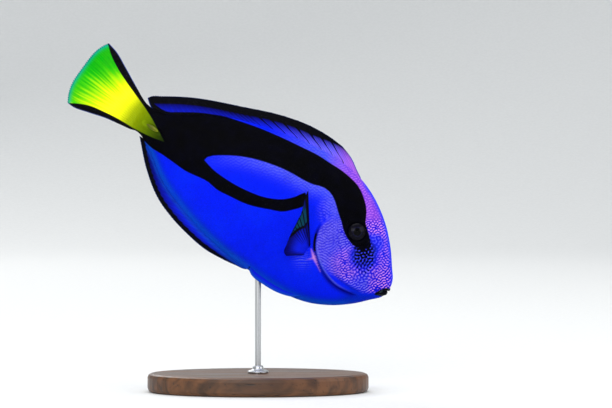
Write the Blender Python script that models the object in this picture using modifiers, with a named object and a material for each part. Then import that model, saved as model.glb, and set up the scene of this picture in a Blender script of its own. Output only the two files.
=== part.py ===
"""A life-size regal blue tang, swimming nose down, on a plain display stand.

The fish is modelled in its own frame first: the snout at the origin, +X forward, +Z towards the back
and +Y to its left. Stations run from the snout to the tail, and stations and heights there are shares
of the standard length. An empty then tips the whole fish nose down over the stand.
"""

import math

import bmesh
import bpy
import numpy as np

# Sizes in metres. The standard length is from the snout to the root of the tail fin.
STANDARD_LENGTH = 0.157
NOSE_DOWN = math.radians(33.6)
SNOUT_AHEAD_OF_ROD = 0.0717
SNOUT_HEIGHT = 0.058
GAP = 0.0003
FIN_THICKNESS = 0.0009

BASE_LENGTH = 0.118
BASE_WIDTH = 0.076
BASE_THICKNESS = 0.010
BASE_EDGE = 0.0022
BASE_SIDES = 56
ROD_RADIUS = 0.0016
ROD_FOOT = 0.004
ROD_TOP = 0.071
ROD_SIDES = 20

# The tail sweeps to the fish's left along one arc, from this station back.
SWAY_FROM = 0.45
SWAY_ANGLE = math.radians(11)
TAIL_TIP = 1.27

# The body's lines: (station, height above the axis) for the back and belly, and (station, half width).
# They all start at the tip of the snout, a little ahead of station 0.
TIP = -0.004
BACK_LINE = (
    (TIP, -0.027), (0.000, -0.003), (0.006, 0.012), (0.030, 0.044), (0.075, 0.101), (0.120, 0.146),
    (0.175, 0.187), (0.235, 0.219), (0.300, 0.240), (0.370, 0.248), (0.450, 0.245), (0.635, 0.209),
    (0.840, 0.130), (0.950, 0.061), (1.000, 0.044), (1.040, 0.046),
)
BELLY_LINE = (
    (TIP, -0.027), (0.000, -0.050), (0.006, -0.062), (0.030, -0.088), (0.080, -0.139), (0.140, -0.1835),
    (0.212, -0.2175), (0.300, -0.235), (0.370, -0.2365), (0.450, -0.2345), (0.540, -0.230), (0.735, -0.187),
    (0.845, -0.144), (0.950, -0.077), (1.000, -0.054), (1.040, -0.055),
)
HALF_WIDTH = (
    (TIP, 0.000), (0.000, 0.012), (0.006, 0.019), (0.030, 0.030), (0.120, 0.056), (0.200, 0.070),
    (0.300, 0.077), (0.450, 0.074), (0.635, 0.060), (0.840, 0.037), (0.950, 0.024), (1.000, 0.018),
    (1.040, 0.008),
)
# A section's half width falls away from its widest level as (1 - level ** FLANK) ** EDGE.
FLANK = 2.4
EDGE = 0.60
SHOULDER = 0.10
SNOUT_CROWDING = 1.6
# Steps of the body's grid from snout to tail and round it, and how near the two sides of its seam lie.
BODY_STEPS = (40, 30)
SEAM = 0.00001
SMOOTHEST_EDGE = math.radians(40)

# Where the thin cuts run, as (station, height).
JAW_CUT = ((-0.030, -0.029), (0.018, -0.037), (0.040, -0.056), (0.050, -0.090), (0.052, -0.160))
GILL_CUT = (
    (0.318, 0.290), (0.296, 0.200), (0.288, 0.120), (0.303, 0.060), (0.304, 0.010), (0.285, -0.041),
    (0.251, -0.073), (0.204, -0.096), (0.149, -0.108), (0.095, -0.118), (0.060, -0.170),
)
TAIL_CUT = 0.925
CUT_WIDTH = 0.060
# The bodies that these cuts leave, each with its middle.
FLESH = (
    ("head", (0.15, 0.05)), ("lower_jaw", (0.02, -0.07)),
    ("trunk", (0.55, 0.00)), ("tail_stalk", (1.00, 0.00)),
)
# The front edge of the gill cover, which is a plate of its own, and a line out behind its rear edge.
COVER_FRONT = (
    (0.325, 0.100), (0.300, 0.091), (0.272, 0.072), (0.252, 0.040), (0.240, -0.005), (0.218, -0.045),
    (0.180, -0.075), (0.140, -0.098), (0.126, -0.128),
)
COVER_BEHIND = ((0.350, 0.110), (0.344, -0.050), (0.150, -0.150))
COVER_DEPTH = 0.0022
COVER_BLOCK = 0.010
COVER_BLOCK_THICKNESS = 0.016
THINNEST_CORE = 0.0004

# Outer margins of the unpaired fins, and how far their roots reach into the body.
FIN_ROOT_DEPTH = 0.025
DORSAL_ROOT = (0.296, 0.948)
DORSAL_MARGIN = (
    (0.298, 0.2435), (0.345, 0.273), (0.400, 0.2925), (0.455, 0.2965), (0.530, 0.291), (0.620, 0.270),
    (0.760, 0.2165), (0.925, 0.1445), (1.008, 0.0945), (1.037, 0.075), (1.045, 0.064),
)
ANAL_ROOT = (0.434, 0.950)
ANAL_MARGIN = (
    (0.436, -0.237), (0.500, -0.249), (0.590, -0.257), (0.670, -0.248), (0.750, -0.230), (0.820, -0.204),
    (0.912, -0.141), (0.980, -0.076), (0.996, -0.060),
)
CAUDAL_ROOT = ((1.020, 0.040), (1.020, -0.050))
CAUDAL_TIPS = ((1.264, 0.1455), (1.270, -0.103))
CAUDAL_BULGE = 0.028
CAUDAL_CORNER = 3.0
CAUDAL_FULLNESS = 0.006

EYE_CENTRE = (0.198, 0.080)
EYE_RADIUS = 0.0055
EYE_DEPTH = 0.0034
EYE_PROUD = 0.0011
# The eye tips with the cheek, forward and up.
EYE_TILT = (0.20, 0.16)

# The pectoral fin is a fan: its leading ray points up and back, its last one down and back.
PECTORAL_ROOT = ((0.301, -0.052), (0.303, -0.083))
PECTORAL_ANGLES = (math.radians(54.5), math.radians(-36))
PECTORAL_LENGTHS = (
    (0.0, 0.197), (0.04, 0.173), (0.10, 0.134), (0.20, 0.109), (0.30, 0.095), (0.45, 0.083), (0.70, 0.073),
    (0.93, 0.070), (1.0, 0.062),
)
PECTORAL_LIFT = (0.104, 0.030)
PECTORAL_ROWS = 7
ROOT_DEPTH = 0.003
# A trimmed fin's points closer together than this are merged, so that no sliver is left.
SLIVER = 0.00002

# The pelvic fins lie folded back against the keel of the belly, their upper edges leaning in. The drop is
# how far the lower edge hangs below the belly line, by the share of the fin's length.
PELVIC_ROOT = 0.235
PELVIC_TIP = 0.438
PELVIC_OUT = 0.0034
PELVIC_TALL = 0.0048
PELVIC_LEAN = math.radians(-20)
PELVIC_DROP = (
    (0.0, -0.0025), (0.12, -0.0005), (0.26, 0.0005), (0.42, 0.00115), (0.68, 0.0014), (0.88, 0.0009),
    (1.0, -0.0012),
)

SPINE_STATIONS = (0.945, 0.993)
SPINE_HEIGHT = -0.012
SPINE_PROUD = 0.0009
SPINE_RADIUS = 0.0011
SPINE_FLATNESS = 0.6
SPINE_BLUNTNESS = 0.12

BLUE = (0.004, 0.030, 0.900)
YELLOW = (0.900, 0.800, 0.010)
IRIS = (0.010, 0.008, 0.014)
BONE = (0.750, 0.620, 0.120)
WALNUT = (0.115, 0.052, 0.024)
STEEL = (0.600, 0.600, 0.610)


def smooth(points, at):
    """A cubic curve through (x, y) points, read at the x values in at."""
    x, y = np.array(points, float).T
    at = np.clip(np.asarray(at, float), x[0], x[-1])
    slope = np.gradient(y, x)
    i = np.clip(np.searchsorted(x, at) - 1, 0, len(x) - 2)
    run = x[i + 1] - x[i]
    t = (at - x[i]) / run
    start = (1 + 2 * t) * (1 - t) ** 2 * y[i] + t * (1 - t) ** 2 * run * slope[i]
    return start + t * t * (3 - 2 * t) * y[i + 1] + t * t * (t - 1) * run * slope[i + 1]


def body_line(line, station):
    """A line of the body at a station. It is curved in the root of the distance from the tip, which rounds
    the snout."""
    rooted = [(math.sqrt(max(at - TIP, 0.0)), value) for at, value in line]
    return smooth(rooted, np.sqrt(np.maximum(np.asarray(station, float) - TIP, 0.0)))


def along(points, share):
    """The place at a share of the way along a line of (station, height) points, by length."""
    stations, heights = np.array(points, float).T
    steps = np.hypot(np.diff(stations), np.diff(heights))
    run = np.concatenate([[0], np.cumsum(steps)])
    at = np.asarray(share, float) * run[-1]
    return smooth(list(zip(run, stations)), at), smooth(list(zip(run, heights)), at)


def placed(station, height, side):
    """Points of the fish's frame, with the sway, from stations and heights in standard lengths and a side
    in metres."""
    station, height, side = np.broadcast_arrays(station, height, side)
    turn = SWAY_ANGLE / (TAIL_TIP - SWAY_FROM)
    angle = turn * np.clip(station - SWAY_FROM, 0, None)
    x = -STANDARD_LENGTH * (np.minimum(station, SWAY_FROM) + np.sin(angle) / turn)
    y = STANDARD_LENGTH * (1 - np.cos(angle)) / turn
    return np.stack([x + side * np.sin(angle), y + side * np.cos(angle), STANDARD_LENGTH * height], axis=-1)


def half_width(station, height, grow=0.0):
    """The body's half width in metres at a station and height. It is zero on the back and belly lines."""
    more = grow / STANDARD_LENGTH
    top, bottom = body_line(BACK_LINE, station) + more, body_line(BELLY_LINE, station) - more
    top = np.maximum(top, bottom + THINNEST_CORE / STANDARD_LENGTH)
    level = np.clip((2 * height - top - bottom) / (top - bottom), -1, 1)
    level = np.abs(level - SHOULDER * (1 - level**2))
    widest = np.maximum(STANDARD_LENGTH * body_line(HALF_WIDTH, station) + grow, 0.0)
    return widest * (1 - np.minimum(level, 1) ** FLANK) ** EDGE


def collection(name, hidden=False):
    made = bpy.data.collections.new(name)
    bpy.context.scene.collection.children.link(made)
    made.hide_render = hidden
    return made


def material(name, colour, roughness=0.5, metallic=0.0):
    made = bpy.data.materials.new(name)
    made.use_nodes = True
    shader = made.node_tree.nodes["Principled BSDF"]
    shader.inputs["Base Color"].default_value = (*colour, 1)
    shader.inputs["Roughness"].default_value = roughness
    shader.inputs["Metallic"].default_value = metallic
    made.diffuse_color = (*colour, 1)
    return made


def add_object(name, mesh, finish, group):
    """An object of this mesh, in a collection and with a material."""
    made = bpy.data.objects.new(name, mesh)
    group.objects.link(made)
    if finish:
        mesh.materials.clear()
        mesh.materials.append(finish)
    else:
        made.hide_render = True
        made.display_type = "WIRE"
    return made


def formed_grid(name, columns, rows, formula, finish, group, tube=False):
    """A grid primitive whose points are moved to formula(u, v). A tube has its seam merged and its ends
    filled."""
    shape = bmesh.new()
    bmesh.ops.create_grid(shape, x_segments=columns, y_segments=rows, size=1)
    flat = np.array([vertex.co[:2] for vertex in shape.verts])
    points = formula((flat[:, 0] + 1) / 2, (flat[:, 1] + 1) / 2)
    for vertex, point in zip(shape.verts, points):
        vertex.co = point
    if tube:
        bmesh.ops.remove_doubles(shape, verts=shape.verts, dist=SEAM)
        bmesh.ops.holes_fill(shape, edges=shape.edges)
    shape.normal_update()
    bmesh.ops.recalc_face_normals(shape, faces=shape.faces)
    mesh = bpy.data.meshes.new(name)
    shape.to_mesh(mesh)
    shape.free()
    mesh.shade_smooth()
    mesh.set_sharp_from_angle(angle=SMOOTHEST_EDGE)
    return add_object(name, mesh, finish, group)


def boolean(piece, cutter, operation="DIFFERENCE"):
    cut = piece.modifiers.new(f"{operation.lower()} {cutter.name}", "BOOLEAN")
    cut.operation = operation
    cut.object = cutter
    return piece


def thickened(piece, thickness):
    wall = piece.modifiers.new("thickness", "SOLIDIFY")
    wall.thickness = thickness
    wall.offset = 0
    return piece


def trimmed(fin, body):
    """A fin cut back to the body, with the slivers along the cut merged."""
    boolean(fin, body)
    weld = fin.modifiers.new("merged slivers", "WELD")
    weld.merge_threshold = SLIVER
    return fin


def applied(piece):
    """The piece with its modifiers made part of its mesh."""
    graph = bpy.context.evaluated_depsgraph_get()
    mesh = bpy.data.meshes.new_from_object(piece.evaluated_get(graph))
    piece.modifiers.clear()
    piece.data = mesh
    return piece


def body_formula(grow=0.0):
    """The body as a tube: u runs from the snout to the tail, crowded at the snout, and v runs round it."""
    last = BACK_LINE[-1][0]
    more = grow / STANDARD_LENGTH

    def formula(u, v):
        station = TIP + (last - TIP) * u**SNOUT_CROWDING
        angle = 2 * math.pi * v
        top, bottom = body_line(BACK_LINE, station) + more, body_line(BELLY_LINE, station) - more
        height = (top + bottom) / 2 + (top - bottom) / 2 * np.sin(angle)
        side = half_width(station, height, grow) * np.sign(np.round(np.cos(angle), 6))
        # The grown body also reaches past the snout and the tail root by the same distance.
        reach = station - more + 2 * more * u
        return placed(reach, height, side)

    return formula


def body_tube(name, grow, finish, group):
    return formed_grid(name, *BODY_STEPS, body_formula(grow), finish, group, tube=True)


def cutting_wall(name, line, group):
    """A thin wall through the fish along a line of (station, height) points."""

    def formula(u, v):
        station, height = along(line, u)
        return placed(station, height, (v - 0.5) * CUT_WIDTH)

    return applied(thickened(formed_grid(name, 30, 1, formula, None, group), GAP))


def loose_parts(piece, middles, group):
    """Parts a mesh that thin cuts have divided. Each name gets the body that is nearest to its middle."""
    shape = bmesh.new()
    shape.from_mesh(piece.data)
    bodies = []
    seen = set()
    for start in shape.verts:
        if start in seen:
            continue
        body, edge = {start}, [start]
        while edge:
            vertex = edge.pop()
            for link in vertex.link_edges:
                other = link.other_vert(vertex)
                if other not in body:
                    body.add(other)
                    edge.append(other)
        seen |= body
        bodies.append(body)
    found = {}
    for name, (station, height) in middles:
        spot = np.array([-station, height]) * STANDARD_LENGTH

        def distance(body):
            middle = np.mean([vertex.co for vertex in body], axis=0)[[0, 2]]
            return float(np.hypot(*(middle - spot)))

        keep = min(bodies, key=distance)
        kept_indices = {vertex.index for vertex in keep}
        part = bmesh.new()
        part.from_mesh(piece.data)
        part.verts.ensure_lookup_table()
        drop = [vertex for vertex in part.verts if vertex.index not in kept_indices]
        bmesh.ops.delete(part, geom=drop, context="VERTS")
        mesh = bpy.data.meshes.new(name)
        part.to_mesh(mesh)
        part.free()
        found[name] = add_object(name, mesh, piece.data.materials[0], group)
    shape.free()
    bpy.data.objects.remove(piece)
    return found


def divided_body(group, cutters, finish):
    """The body made whole, then parted into head, lower jaw, trunk and tail stalk."""
    whole = body_tube("whole_body", 0.0, finish, group)
    tail_line = ((TAIL_CUT, 0.120), (TAIL_CUT, 0.0), (TAIL_CUT, -0.140))
    for name, line in (("jaw_cut", JAW_CUT), ("gill_cut", GILL_CUT), ("tail_cut", tail_line)):
        boolean(whole, cutting_wall(name, line, cutters))
    applied(whole)
    return loose_parts(whole, FLESH, group)


def cover_zone(name, side, grow, cutters):
    """The space of one gill cover: a block with the cover's outline, less the body's core."""
    share = np.linspace(0, 1, 13)
    line = np.stack(along(COVER_FRONT, share), axis=1)
    run = np.gradient(line, axis=0)
    run /= np.linalg.norm(run, axis=1, keepdims=True)
    # The seat's outline lies ahead of the cover's by the gap, measured square to the line.
    ahead = line + grow / STANDARD_LENGTH * np.stack([run[:, 1], -run[:, 0]], axis=1)
    behind = np.stack(along(COVER_BEHIND, share), axis=1)

    def formula(u, v):
        edges = [[np.interp(v, share, edge[:, k]) for k in (0, 1)] for edge in (ahead, behind)]
        station, height = (edges[0][k] + (edges[1][k] - edges[0][k]) * u for k in (0, 1))
        return placed(station, height, side * COVER_BLOCK)

    block = thickened(formed_grid(name, 4, 12, formula, None, cutters), COVER_BLOCK_THICKNESS)
    core = body_tube(f"{name}_core", -COVER_DEPTH - grow, None, cutters)
    return applied(boolean(block, core))


def gill_cover(name, side, head, cutters, finish, group):
    """A gill cover, cut out of the side of the head as a curved plate."""
    cover = add_object(name, head.data.copy(), finish, group)
    boolean(cover, cover_zone(f"{name}_zone", side, 0.0, cutters), "INTERSECT")
    applied(cover)
    boolean(head, cover_zone(f"{name}_seat", side, GAP, cutters))
    return cover


def eye(name, side, grow, finish, group):
    """A flattened ball that stands a little proud of the cheek."""
    station, height = EYE_CENTRE
    surface = float(half_width(station, height))
    shape = bmesh.new()
    bmesh.ops.create_uvsphere(shape, u_segments=20, v_segments=10, radius=1)
    centre = placed(station, height, side * (surface + EYE_PROUD - EYE_DEPTH))
    radii = np.array([EYE_RADIUS, EYE_DEPTH, EYE_RADIUS]) + grow
    for vertex in shape.verts:
        x, y, z = vertex.co[0] * radii[0], vertex.co[2] * radii[1], vertex.co[1] * radii[2]
        vertex.co = centre + np.array([x, side * (y - EYE_TILT[0] * x - EYE_TILT[1] * z), z])
    shape.normal_update()
    bmesh.ops.recalc_face_normals(shape, faces=shape.faces)
    mesh = bpy.data.meshes.new(name)
    shape.to_mesh(mesh)
    shape.free()
    mesh.shade_smooth()
    return add_object(name, mesh, finish, group)


def unpaired_fin(name, root, margin, line, finish, group):
    """A fin on the fish's middle plane, from inside the body out to its margin."""
    inside = -math.copysign(FIN_ROOT_DEPTH, margin[0][1])

    def formula(u, v):
        root_station = root[0] + (root[1] - root[0]) * u
        root_height = body_line(line, root_station) + inside * np.interp(u, (0, 0.9, 1), (1, 1, 0.3))
        tip_station, tip_height = along(margin, u)
        station = root_station + (tip_station - root_station) * v
        return placed(station, root_height + (tip_height - root_height) * v, 0.0)

    return thickened(formed_grid(name, 30, 3, formula, finish, group), FIN_THICKNESS)


def caudal_fin(finish, group):
    """The tail fin: a fan whose rear margin bulges a little between its two pointed corners."""

    def formula(u, v):
        tip = [np.interp(u, (0, 1), (CAUDAL_TIPS[0][k], CAUDAL_TIPS[1][k])) for k in (0, 1)]
        root = [np.interp(u, (0, 1), (CAUDAL_ROOT[0][k], CAUDAL_ROOT[1][k])) for k in (0, 1)]
        bulge = CAUDAL_BULGE * (1 - np.abs(2 * u - 1) ** CAUDAL_CORNER)
        station = root[0] + (tip[0] + bulge - root[0]) * v
        full = CAUDAL_FULLNESS * (1 - 2 * u) * np.sin(math.pi * v**1.3)
        return placed(station, root[1] + (tip[1] - root[1]) * v + full, 0.0)

    return thickened(formed_grid("caudal_fin", 16, 6, formula, finish, group), FIN_THICKNESS)


def pectoral_fin(name, side, finish, group):
    """A fan of rays from a short root behind the gill cover, lifted away from the flank."""

    def formula(u, v):
        root = [np.interp(u, (0, 1), (PECTORAL_ROOT[0][k], PECTORAL_ROOT[1][k])) for k in (0, 1)]
        angle = PECTORAL_ANGLES[0] + (PECTORAL_ANGLES[1] - PECTORAL_ANGLES[0]) * u
        length = smooth(PECTORAL_LENGTHS, u)
        lift = PECTORAL_LIFT[0] + (PECTORAL_LIFT[1] - PECTORAL_LIFT[0]) * u
        surface = half_width(root[0], root[1])
        # The first row of the grid is turned straight in to the body, and is trimmed off.
        outer = np.clip((v * PECTORAL_ROWS - 1) / (PECTORAL_ROWS - 1), 0, 1)
        inner = np.clip(1 - v * PECTORAL_ROWS, 0, 1) * ROOT_DEPTH
        station = root[0] + length * np.cos(angle) * outer
        height = root[1] + length * np.sin(angle) * outer
        return placed(station, height, side * (surface + STANDARD_LENGTH * lift * outer - inner))

    return thickened(formed_grid(name, 12, PECTORAL_ROWS, formula, finish, group), FIN_THICKNESS)


def pelvic_fin(name, side, finish, group):
    """A low plate folded back against the keel of the belly, pointed at both ends."""

    def formula(u, v):
        station = PELVIC_ROOT + (PELVIC_TIP - PELVIC_ROOT) * v
        low = body_line(BELLY_LINE, station) * STANDARD_LENGTH - smooth(PELVIC_DROP, v)
        height = (low + PELVIC_TALL * u * math.cos(PELVIC_LEAN)) / STANDARD_LENGTH
        return placed(station, height, side * (PELVIC_OUT + PELVIC_TALL * u * math.sin(PELVIC_LEAN)))

    return thickened(formed_grid(name, 4, 14, formula, finish, group), FIN_THICKNESS)


def tail_spine(name, side, finish, group):
    """The folded blade on the side of the tail stalk: a slim pointed spindle lying on the skin."""

    def formula(u, v):
        station = SPINE_STATIONS[0] + (SPINE_STATIONS[1] - SPINE_STATIONS[0]) * u
        angle = 2 * math.pi * v
        swell = np.sin(math.pi * np.clip(u, 0, 1)) ** 0.7
        radius = SPINE_RADIUS * (SPINE_BLUNTNESS + (1 - SPINE_BLUNTNESS) * swell)
        surface = half_width(station, SPINE_HEIGHT) + SPINE_PROUD
        height = SPINE_HEIGHT + radius * np.sin(angle) / STANDARD_LENGTH
        return placed(station, height, side * (surface + SPINE_FLATNESS * radius * np.cos(angle)))

    return formed_grid(name, 8, 8, formula, finish, group, tube=True)


def stand(group, finishes):
    """An oval wooden base and one steel rod, which sits in a blind hole of the base."""
    bpy.ops.mesh.primitive_cylinder_add(vertices=BASE_SIDES, radius=0.5, depth=BASE_THICKNESS)
    base = bpy.context.object
    base.name = "stand_base"
    base.location = (0, 0, BASE_THICKNESS / 2)
    base.scale = (BASE_LENGTH, BASE_WIDTH, 1)
    bpy.ops.object.transform_apply(location=True, rotation=False, scale=True)
    edge = base.modifiers.new("rounded edge", "BEVEL")
    edge.width = BASE_EDGE
    edge.segments = 2
    edge.limit_method = "ANGLE"
    edge.angle_limit = math.radians(50)
    rod = upright("stand_rod", ROD_RADIUS, ROD_FOOT, ROD_TOP)
    for piece, finish in ((base, finishes[0]), (rod, finishes[1])):
        for other in piece.users_collection:
            other.objects.unlink(piece)
        group.objects.link(piece)
        piece.data.materials.append(finish)
        piece.data.shade_smooth()
        piece.data.set_sharp_from_angle(angle=SMOOTHEST_EDGE)
    return base, rod


def upright(name, radius, foot, top):
    bpy.ops.mesh.primitive_cylinder_add(vertices=ROD_SIDES, radius=radius, depth=top - foot)
    made = bpy.context.object
    made.name = name
    made.location = (0, 0, (foot + top) / 2)
    bpy.ops.object.transform_apply(location=True, rotation=False, scale=True)
    return made


def main():
    for leftover in list(bpy.data.objects):
        bpy.data.objects.remove(leftover)
    group = collection("regal_blue_tang")
    cutters = collection("cutters", hidden=True)
    blue = material("blue_skin", BLUE, 0.45)
    black = material("black_edged_fin", BLUE, 0.40)
    yellow = material("yellow_tail_fin", YELLOW, 0.40)
    iris = material("dark_eye", IRIS, 0.08)
    bone = material("spine_sheath", BONE, 0.35)
    finishes = material("oiled_walnut", WALNUT, 0.40), material("brushed_steel", STEEL, 0.30, 1.0)

    parts = divided_body(group, cutters, blue)
    clearance = body_tube("body_clearance", GAP, None, cutters)
    pieces = list(parts.values())
    for side, word in ((-1, "right"), (1, "left")):
        pieces.append(gill_cover(f"gill_cover_{word}", side, parts["head"], cutters, blue, group))
        socket = eye(f"eye_socket_{word}", side, GAP, None, cutters)
        boolean(parts["head"], socket)
        pieces.append(eye(f"eye_{word}", side, 0.0, iris, group))
        pieces.append(trimmed(pectoral_fin(f"pectoral_fin_{word}", side, black, group), clearance))
        pieces.append(trimmed(pelvic_fin(f"pelvic_fin_{word}", side, black, group), clearance))
        pieces.append(trimmed(tail_spine(f"tail_spine_{word}", side, bone, group), clearance))
    dorsal = unpaired_fin("dorsal_fin", DORSAL_ROOT, DORSAL_MARGIN, BACK_LINE, black, group)
    anal = unpaired_fin("anal_fin", ANAL_ROOT, ANAL_MARGIN, BELLY_LINE, black, group)
    for fin in (dorsal, anal, caudal_fin(yellow, group)):
        pieces.append(trimmed(fin, clearance))

    pose = bpy.data.objects.new("fish_pose", None)
    group.objects.link(pose)
    pose.location = (SNOUT_AHEAD_OF_ROD, 0, SNOUT_HEIGHT)
    pose.rotation_euler = (0, NOSE_DOWN, 0)
    for piece in [*pieces, *cutters.objects]:
        piece.parent = pose

    base, rod = stand(group, finishes)
    hole = upright("rod_hole", ROD_RADIUS + GAP, ROD_FOOT - GAP, ROD_TOP + GAP)
    for other in hole.users_collection:
        other.objects.unlink(hole)
    cutters.objects.link(hole)
    hole.hide_render = True
    hole.display_type = "WIRE"
    boolean(base, hole)
    boolean(parts["trunk"], hole)


main()
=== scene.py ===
# %% [markdown]
# # A life-size regal blue tang on a display stand
#
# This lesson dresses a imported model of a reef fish, about 20 cm long, as a natural history museum would
# show it. The model's solids give its true size and place. Here they get a scaled skin, rayed fins, wet
# eyes and a finished stand. Everything is in metres, but the fish's relief and markings are worked out in
# millimetres.

# %% Load the frame and keep its box
import math

import bmesh
import bpy
import numpy as np
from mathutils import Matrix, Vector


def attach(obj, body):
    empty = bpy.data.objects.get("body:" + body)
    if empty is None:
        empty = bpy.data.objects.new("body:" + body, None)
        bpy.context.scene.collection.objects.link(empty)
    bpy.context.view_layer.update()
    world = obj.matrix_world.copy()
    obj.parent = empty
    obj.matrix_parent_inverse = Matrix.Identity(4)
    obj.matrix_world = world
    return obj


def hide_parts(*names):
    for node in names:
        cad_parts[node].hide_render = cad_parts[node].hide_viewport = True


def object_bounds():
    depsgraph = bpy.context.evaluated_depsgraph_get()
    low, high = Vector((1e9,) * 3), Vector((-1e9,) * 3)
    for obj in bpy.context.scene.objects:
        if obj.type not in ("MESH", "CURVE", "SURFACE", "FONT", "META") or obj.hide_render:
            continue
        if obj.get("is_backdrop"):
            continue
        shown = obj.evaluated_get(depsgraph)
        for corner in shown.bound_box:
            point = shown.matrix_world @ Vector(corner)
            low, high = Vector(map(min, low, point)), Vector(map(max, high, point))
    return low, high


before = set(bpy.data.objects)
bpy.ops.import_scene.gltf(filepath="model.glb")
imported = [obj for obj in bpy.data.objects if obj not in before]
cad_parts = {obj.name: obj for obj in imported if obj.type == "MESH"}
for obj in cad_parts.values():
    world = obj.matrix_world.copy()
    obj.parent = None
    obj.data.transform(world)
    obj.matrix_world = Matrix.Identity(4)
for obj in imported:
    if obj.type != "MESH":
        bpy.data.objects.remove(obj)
cad_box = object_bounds()
print("solids:", len(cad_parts), "box:", [[round(float(x), 4) for x in corner] for corner in cad_box])

# %% [markdown]
# ## The fish's own frame
#
# A fish is easiest to describe lying straight: a station runs from the snout (0) to the root of the tail
# fin (1), and heights are shares of the same length. Every part is worked out there, then swept sideways
# along one arc, as a swimming fish bends its tail, and tipped nose down. Bending the finished mesh with a
# modifier would also work, but then the markings, which are drawn by station and height, would need a
# second copy of the bend.

# %% Place points of the fish's frame in the world
# The length from snout to tail root, the tilt and the snout's place in the world. The tail sways from one
# station on, by this angle at its tip.
LENGTH = 0.157
NOSE_DOWN = math.radians(33.6)
SNOUT = np.array([0.0717, 0.0, 0.058])
SWAY_FROM, SWAY_ANGLE, TAIL_TIP = 0.45, math.radians(11), 1.27


def placed(station, height, side):
    """World points: x runs back from the snout and bends along an arc of constant turn behind SWAY_FROM,
    side (in metres) is measured square to that arc, and the whole is turned nose down about the snout."""
    station, height, side = np.broadcast_arrays(station, height, side)
    turn = SWAY_ANGLE / (TAIL_TIP - SWAY_FROM)
    angle = turn * np.clip(station - SWAY_FROM, 0, None)
    x = -LENGTH * (np.minimum(station, SWAY_FROM) + np.sin(angle) / turn) + side * np.sin(angle)
    y = LENGTH * (1 - np.cos(angle)) / turn + side * np.cos(angle)
    z = LENGTH * height
    down, level = math.sin(NOSE_DOWN), math.cos(NOSE_DOWN)
    return np.stack([x * level + z * down, y, z * level - x * down], axis=-1) + SNOUT


def smooth(points, at):
    """A cubic curve through (x, y) points: each stretch blends its ends and slopes by Hermite's weights."""
    x, y = np.array(points, float).T
    at = np.clip(np.asarray(at, float), x[0], x[-1])
    slope = np.gradient(y, x)
    i = np.clip(np.searchsorted(x, at) - 1, 0, len(x) - 2)
    run = x[i + 1] - x[i]
    t = (at - x[i]) / run
    start = (1 + 2 * t) * (1 - t) ** 2 * y[i] + t * (1 - t) ** 2 * run * slope[i]
    return start + t * t * (3 - 2 * t) * y[i + 1] + t * t * (t - 1) * run * slope[i + 1]


def along(points, share):
    """The place at a share of the way along a line of points, by length, on a smooth curve through them."""
    line = np.array(points, float)
    run = np.concatenate([[0], np.cumsum(np.linalg.norm(np.diff(line, axis=0), axis=1))])
    at = np.asarray(share, float) * run[-1]
    return np.stack([smooth(np.stack([run, line[:, k]], axis=1), at) for k in (0, 1)], axis=-1)


def ease(low, high, value):
    """A smooth step from 0 at low to 1 at high. Where low is the greater, it falls as the value grows."""
    t = np.clip((value - low) / (high - low), 0, 1)
    return t * t * (3 - 2 * t)


def part_way(ends, share):
    """The value this share of the way from the first end to the second."""
    return ends[0] + (ends[1] - ends[0]) * share


def span(value, start, full, fading, end):
    """A rise from 0 at start to 1 at full, and a fall from fading to 0 at end."""
    return ease(start, full, value) * ease(end, fading, value)


def hump(distance, width):
    """A bell of height 1, exp(-(distance / width) squared)."""
    return np.exp(-((distance / width) ** 2))


print("the snout is", np.round(placed(0.0, 0.0, 0.0) * 1000, 1), "mm from the stand's foot")

# %% [markdown]
# ## Floor, light and camera
#
# The photograph looks level at the fish's right side with a long lens, so the camera stands 1.6 m off and
# covers a frame about 33 cm wide. A museum photographer would use a paper sweep and big soft boxes: one
# above, one in front, one at the side and one behind. Soft light matters here, as hard light would bleach
# the saturated blue.

# %% Set up the studio
# The picture's size in pixels, and where the foot of the stand's rod comes, from its left and top.
PICTURE, ROD_FOOT, MM_PER_PIXEL = (612, 408), (258, 392), 0.533
FRAME_WIDTH = PICTURE[0] * MM_PER_PIXEL / 1000
VIEW_CENTRE = np.array([PICTURE[0] / 2 - ROD_FOOT[0], 0, ROD_FOOT[1] - PICTURE[1] / 2]) * MM_PER_PIXEL / 1000
SENSOR_WIDTH, CAMERA_DISTANCE, CAMERA_RISE = 36, 1.6, math.radians(1.2)


def linked(name, data):
    """A new object that holds the data, linked into the scene."""
    made = bpy.data.objects.new(name, data)
    bpy.context.scene.collection.objects.link(made)
    return made


camera_data = bpy.data.cameras.new("camera")
camera_data.sensor_width = SENSOR_WIDTH
camera_data.lens = SENSOR_WIDTH * CAMERA_DISTANCE / FRAME_WIDTH
camera = linked("camera", camera_data)
view_back = np.array([0, -math.cos(CAMERA_RISE), math.sin(CAMERA_RISE)])
camera.location = VIEW_CENTRE + CAMERA_DISTANCE * view_back
camera.rotation_euler = (math.pi / 2 - CAMERA_RISE, 0, 0)
bpy.context.scene.camera = camera

# Each light's place and size in metres, and its power in watts. All face the fish.
LIGHTS = (
    ("top_light", (0.08, -0.15, 1.65), (1.5, 1.2), 13.0),
    ("front_light", (-0.50, -2.40, 1.10), (1.7, 1.2), 30.0),
    ("side_light", (1.80, -0.75, 0.75), (1.1, 1.2), 9.0),
    ("back_light", (-0.90, 1.80, 1.35), (1.4, 1.2), 16.0),
)
LIGHTS_FACE = (0, 0, 0.1)
for name, place, size, power in LIGHTS:
    light = bpy.data.lights.new(name, "AREA")
    light.shape, light.size, light.size_y, light.energy = "RECTANGLE", *size, power
    lamp = linked(name, light)
    lamp.location = place
    right, ahead, up = np.array(LIGHTS_FACE) - np.array(place)
    lamp.rotation_euler = (math.atan2(np.hypot(right, ahead), -up), 0, math.atan2(-right, ahead))
    lamp.visible_camera = False

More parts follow.
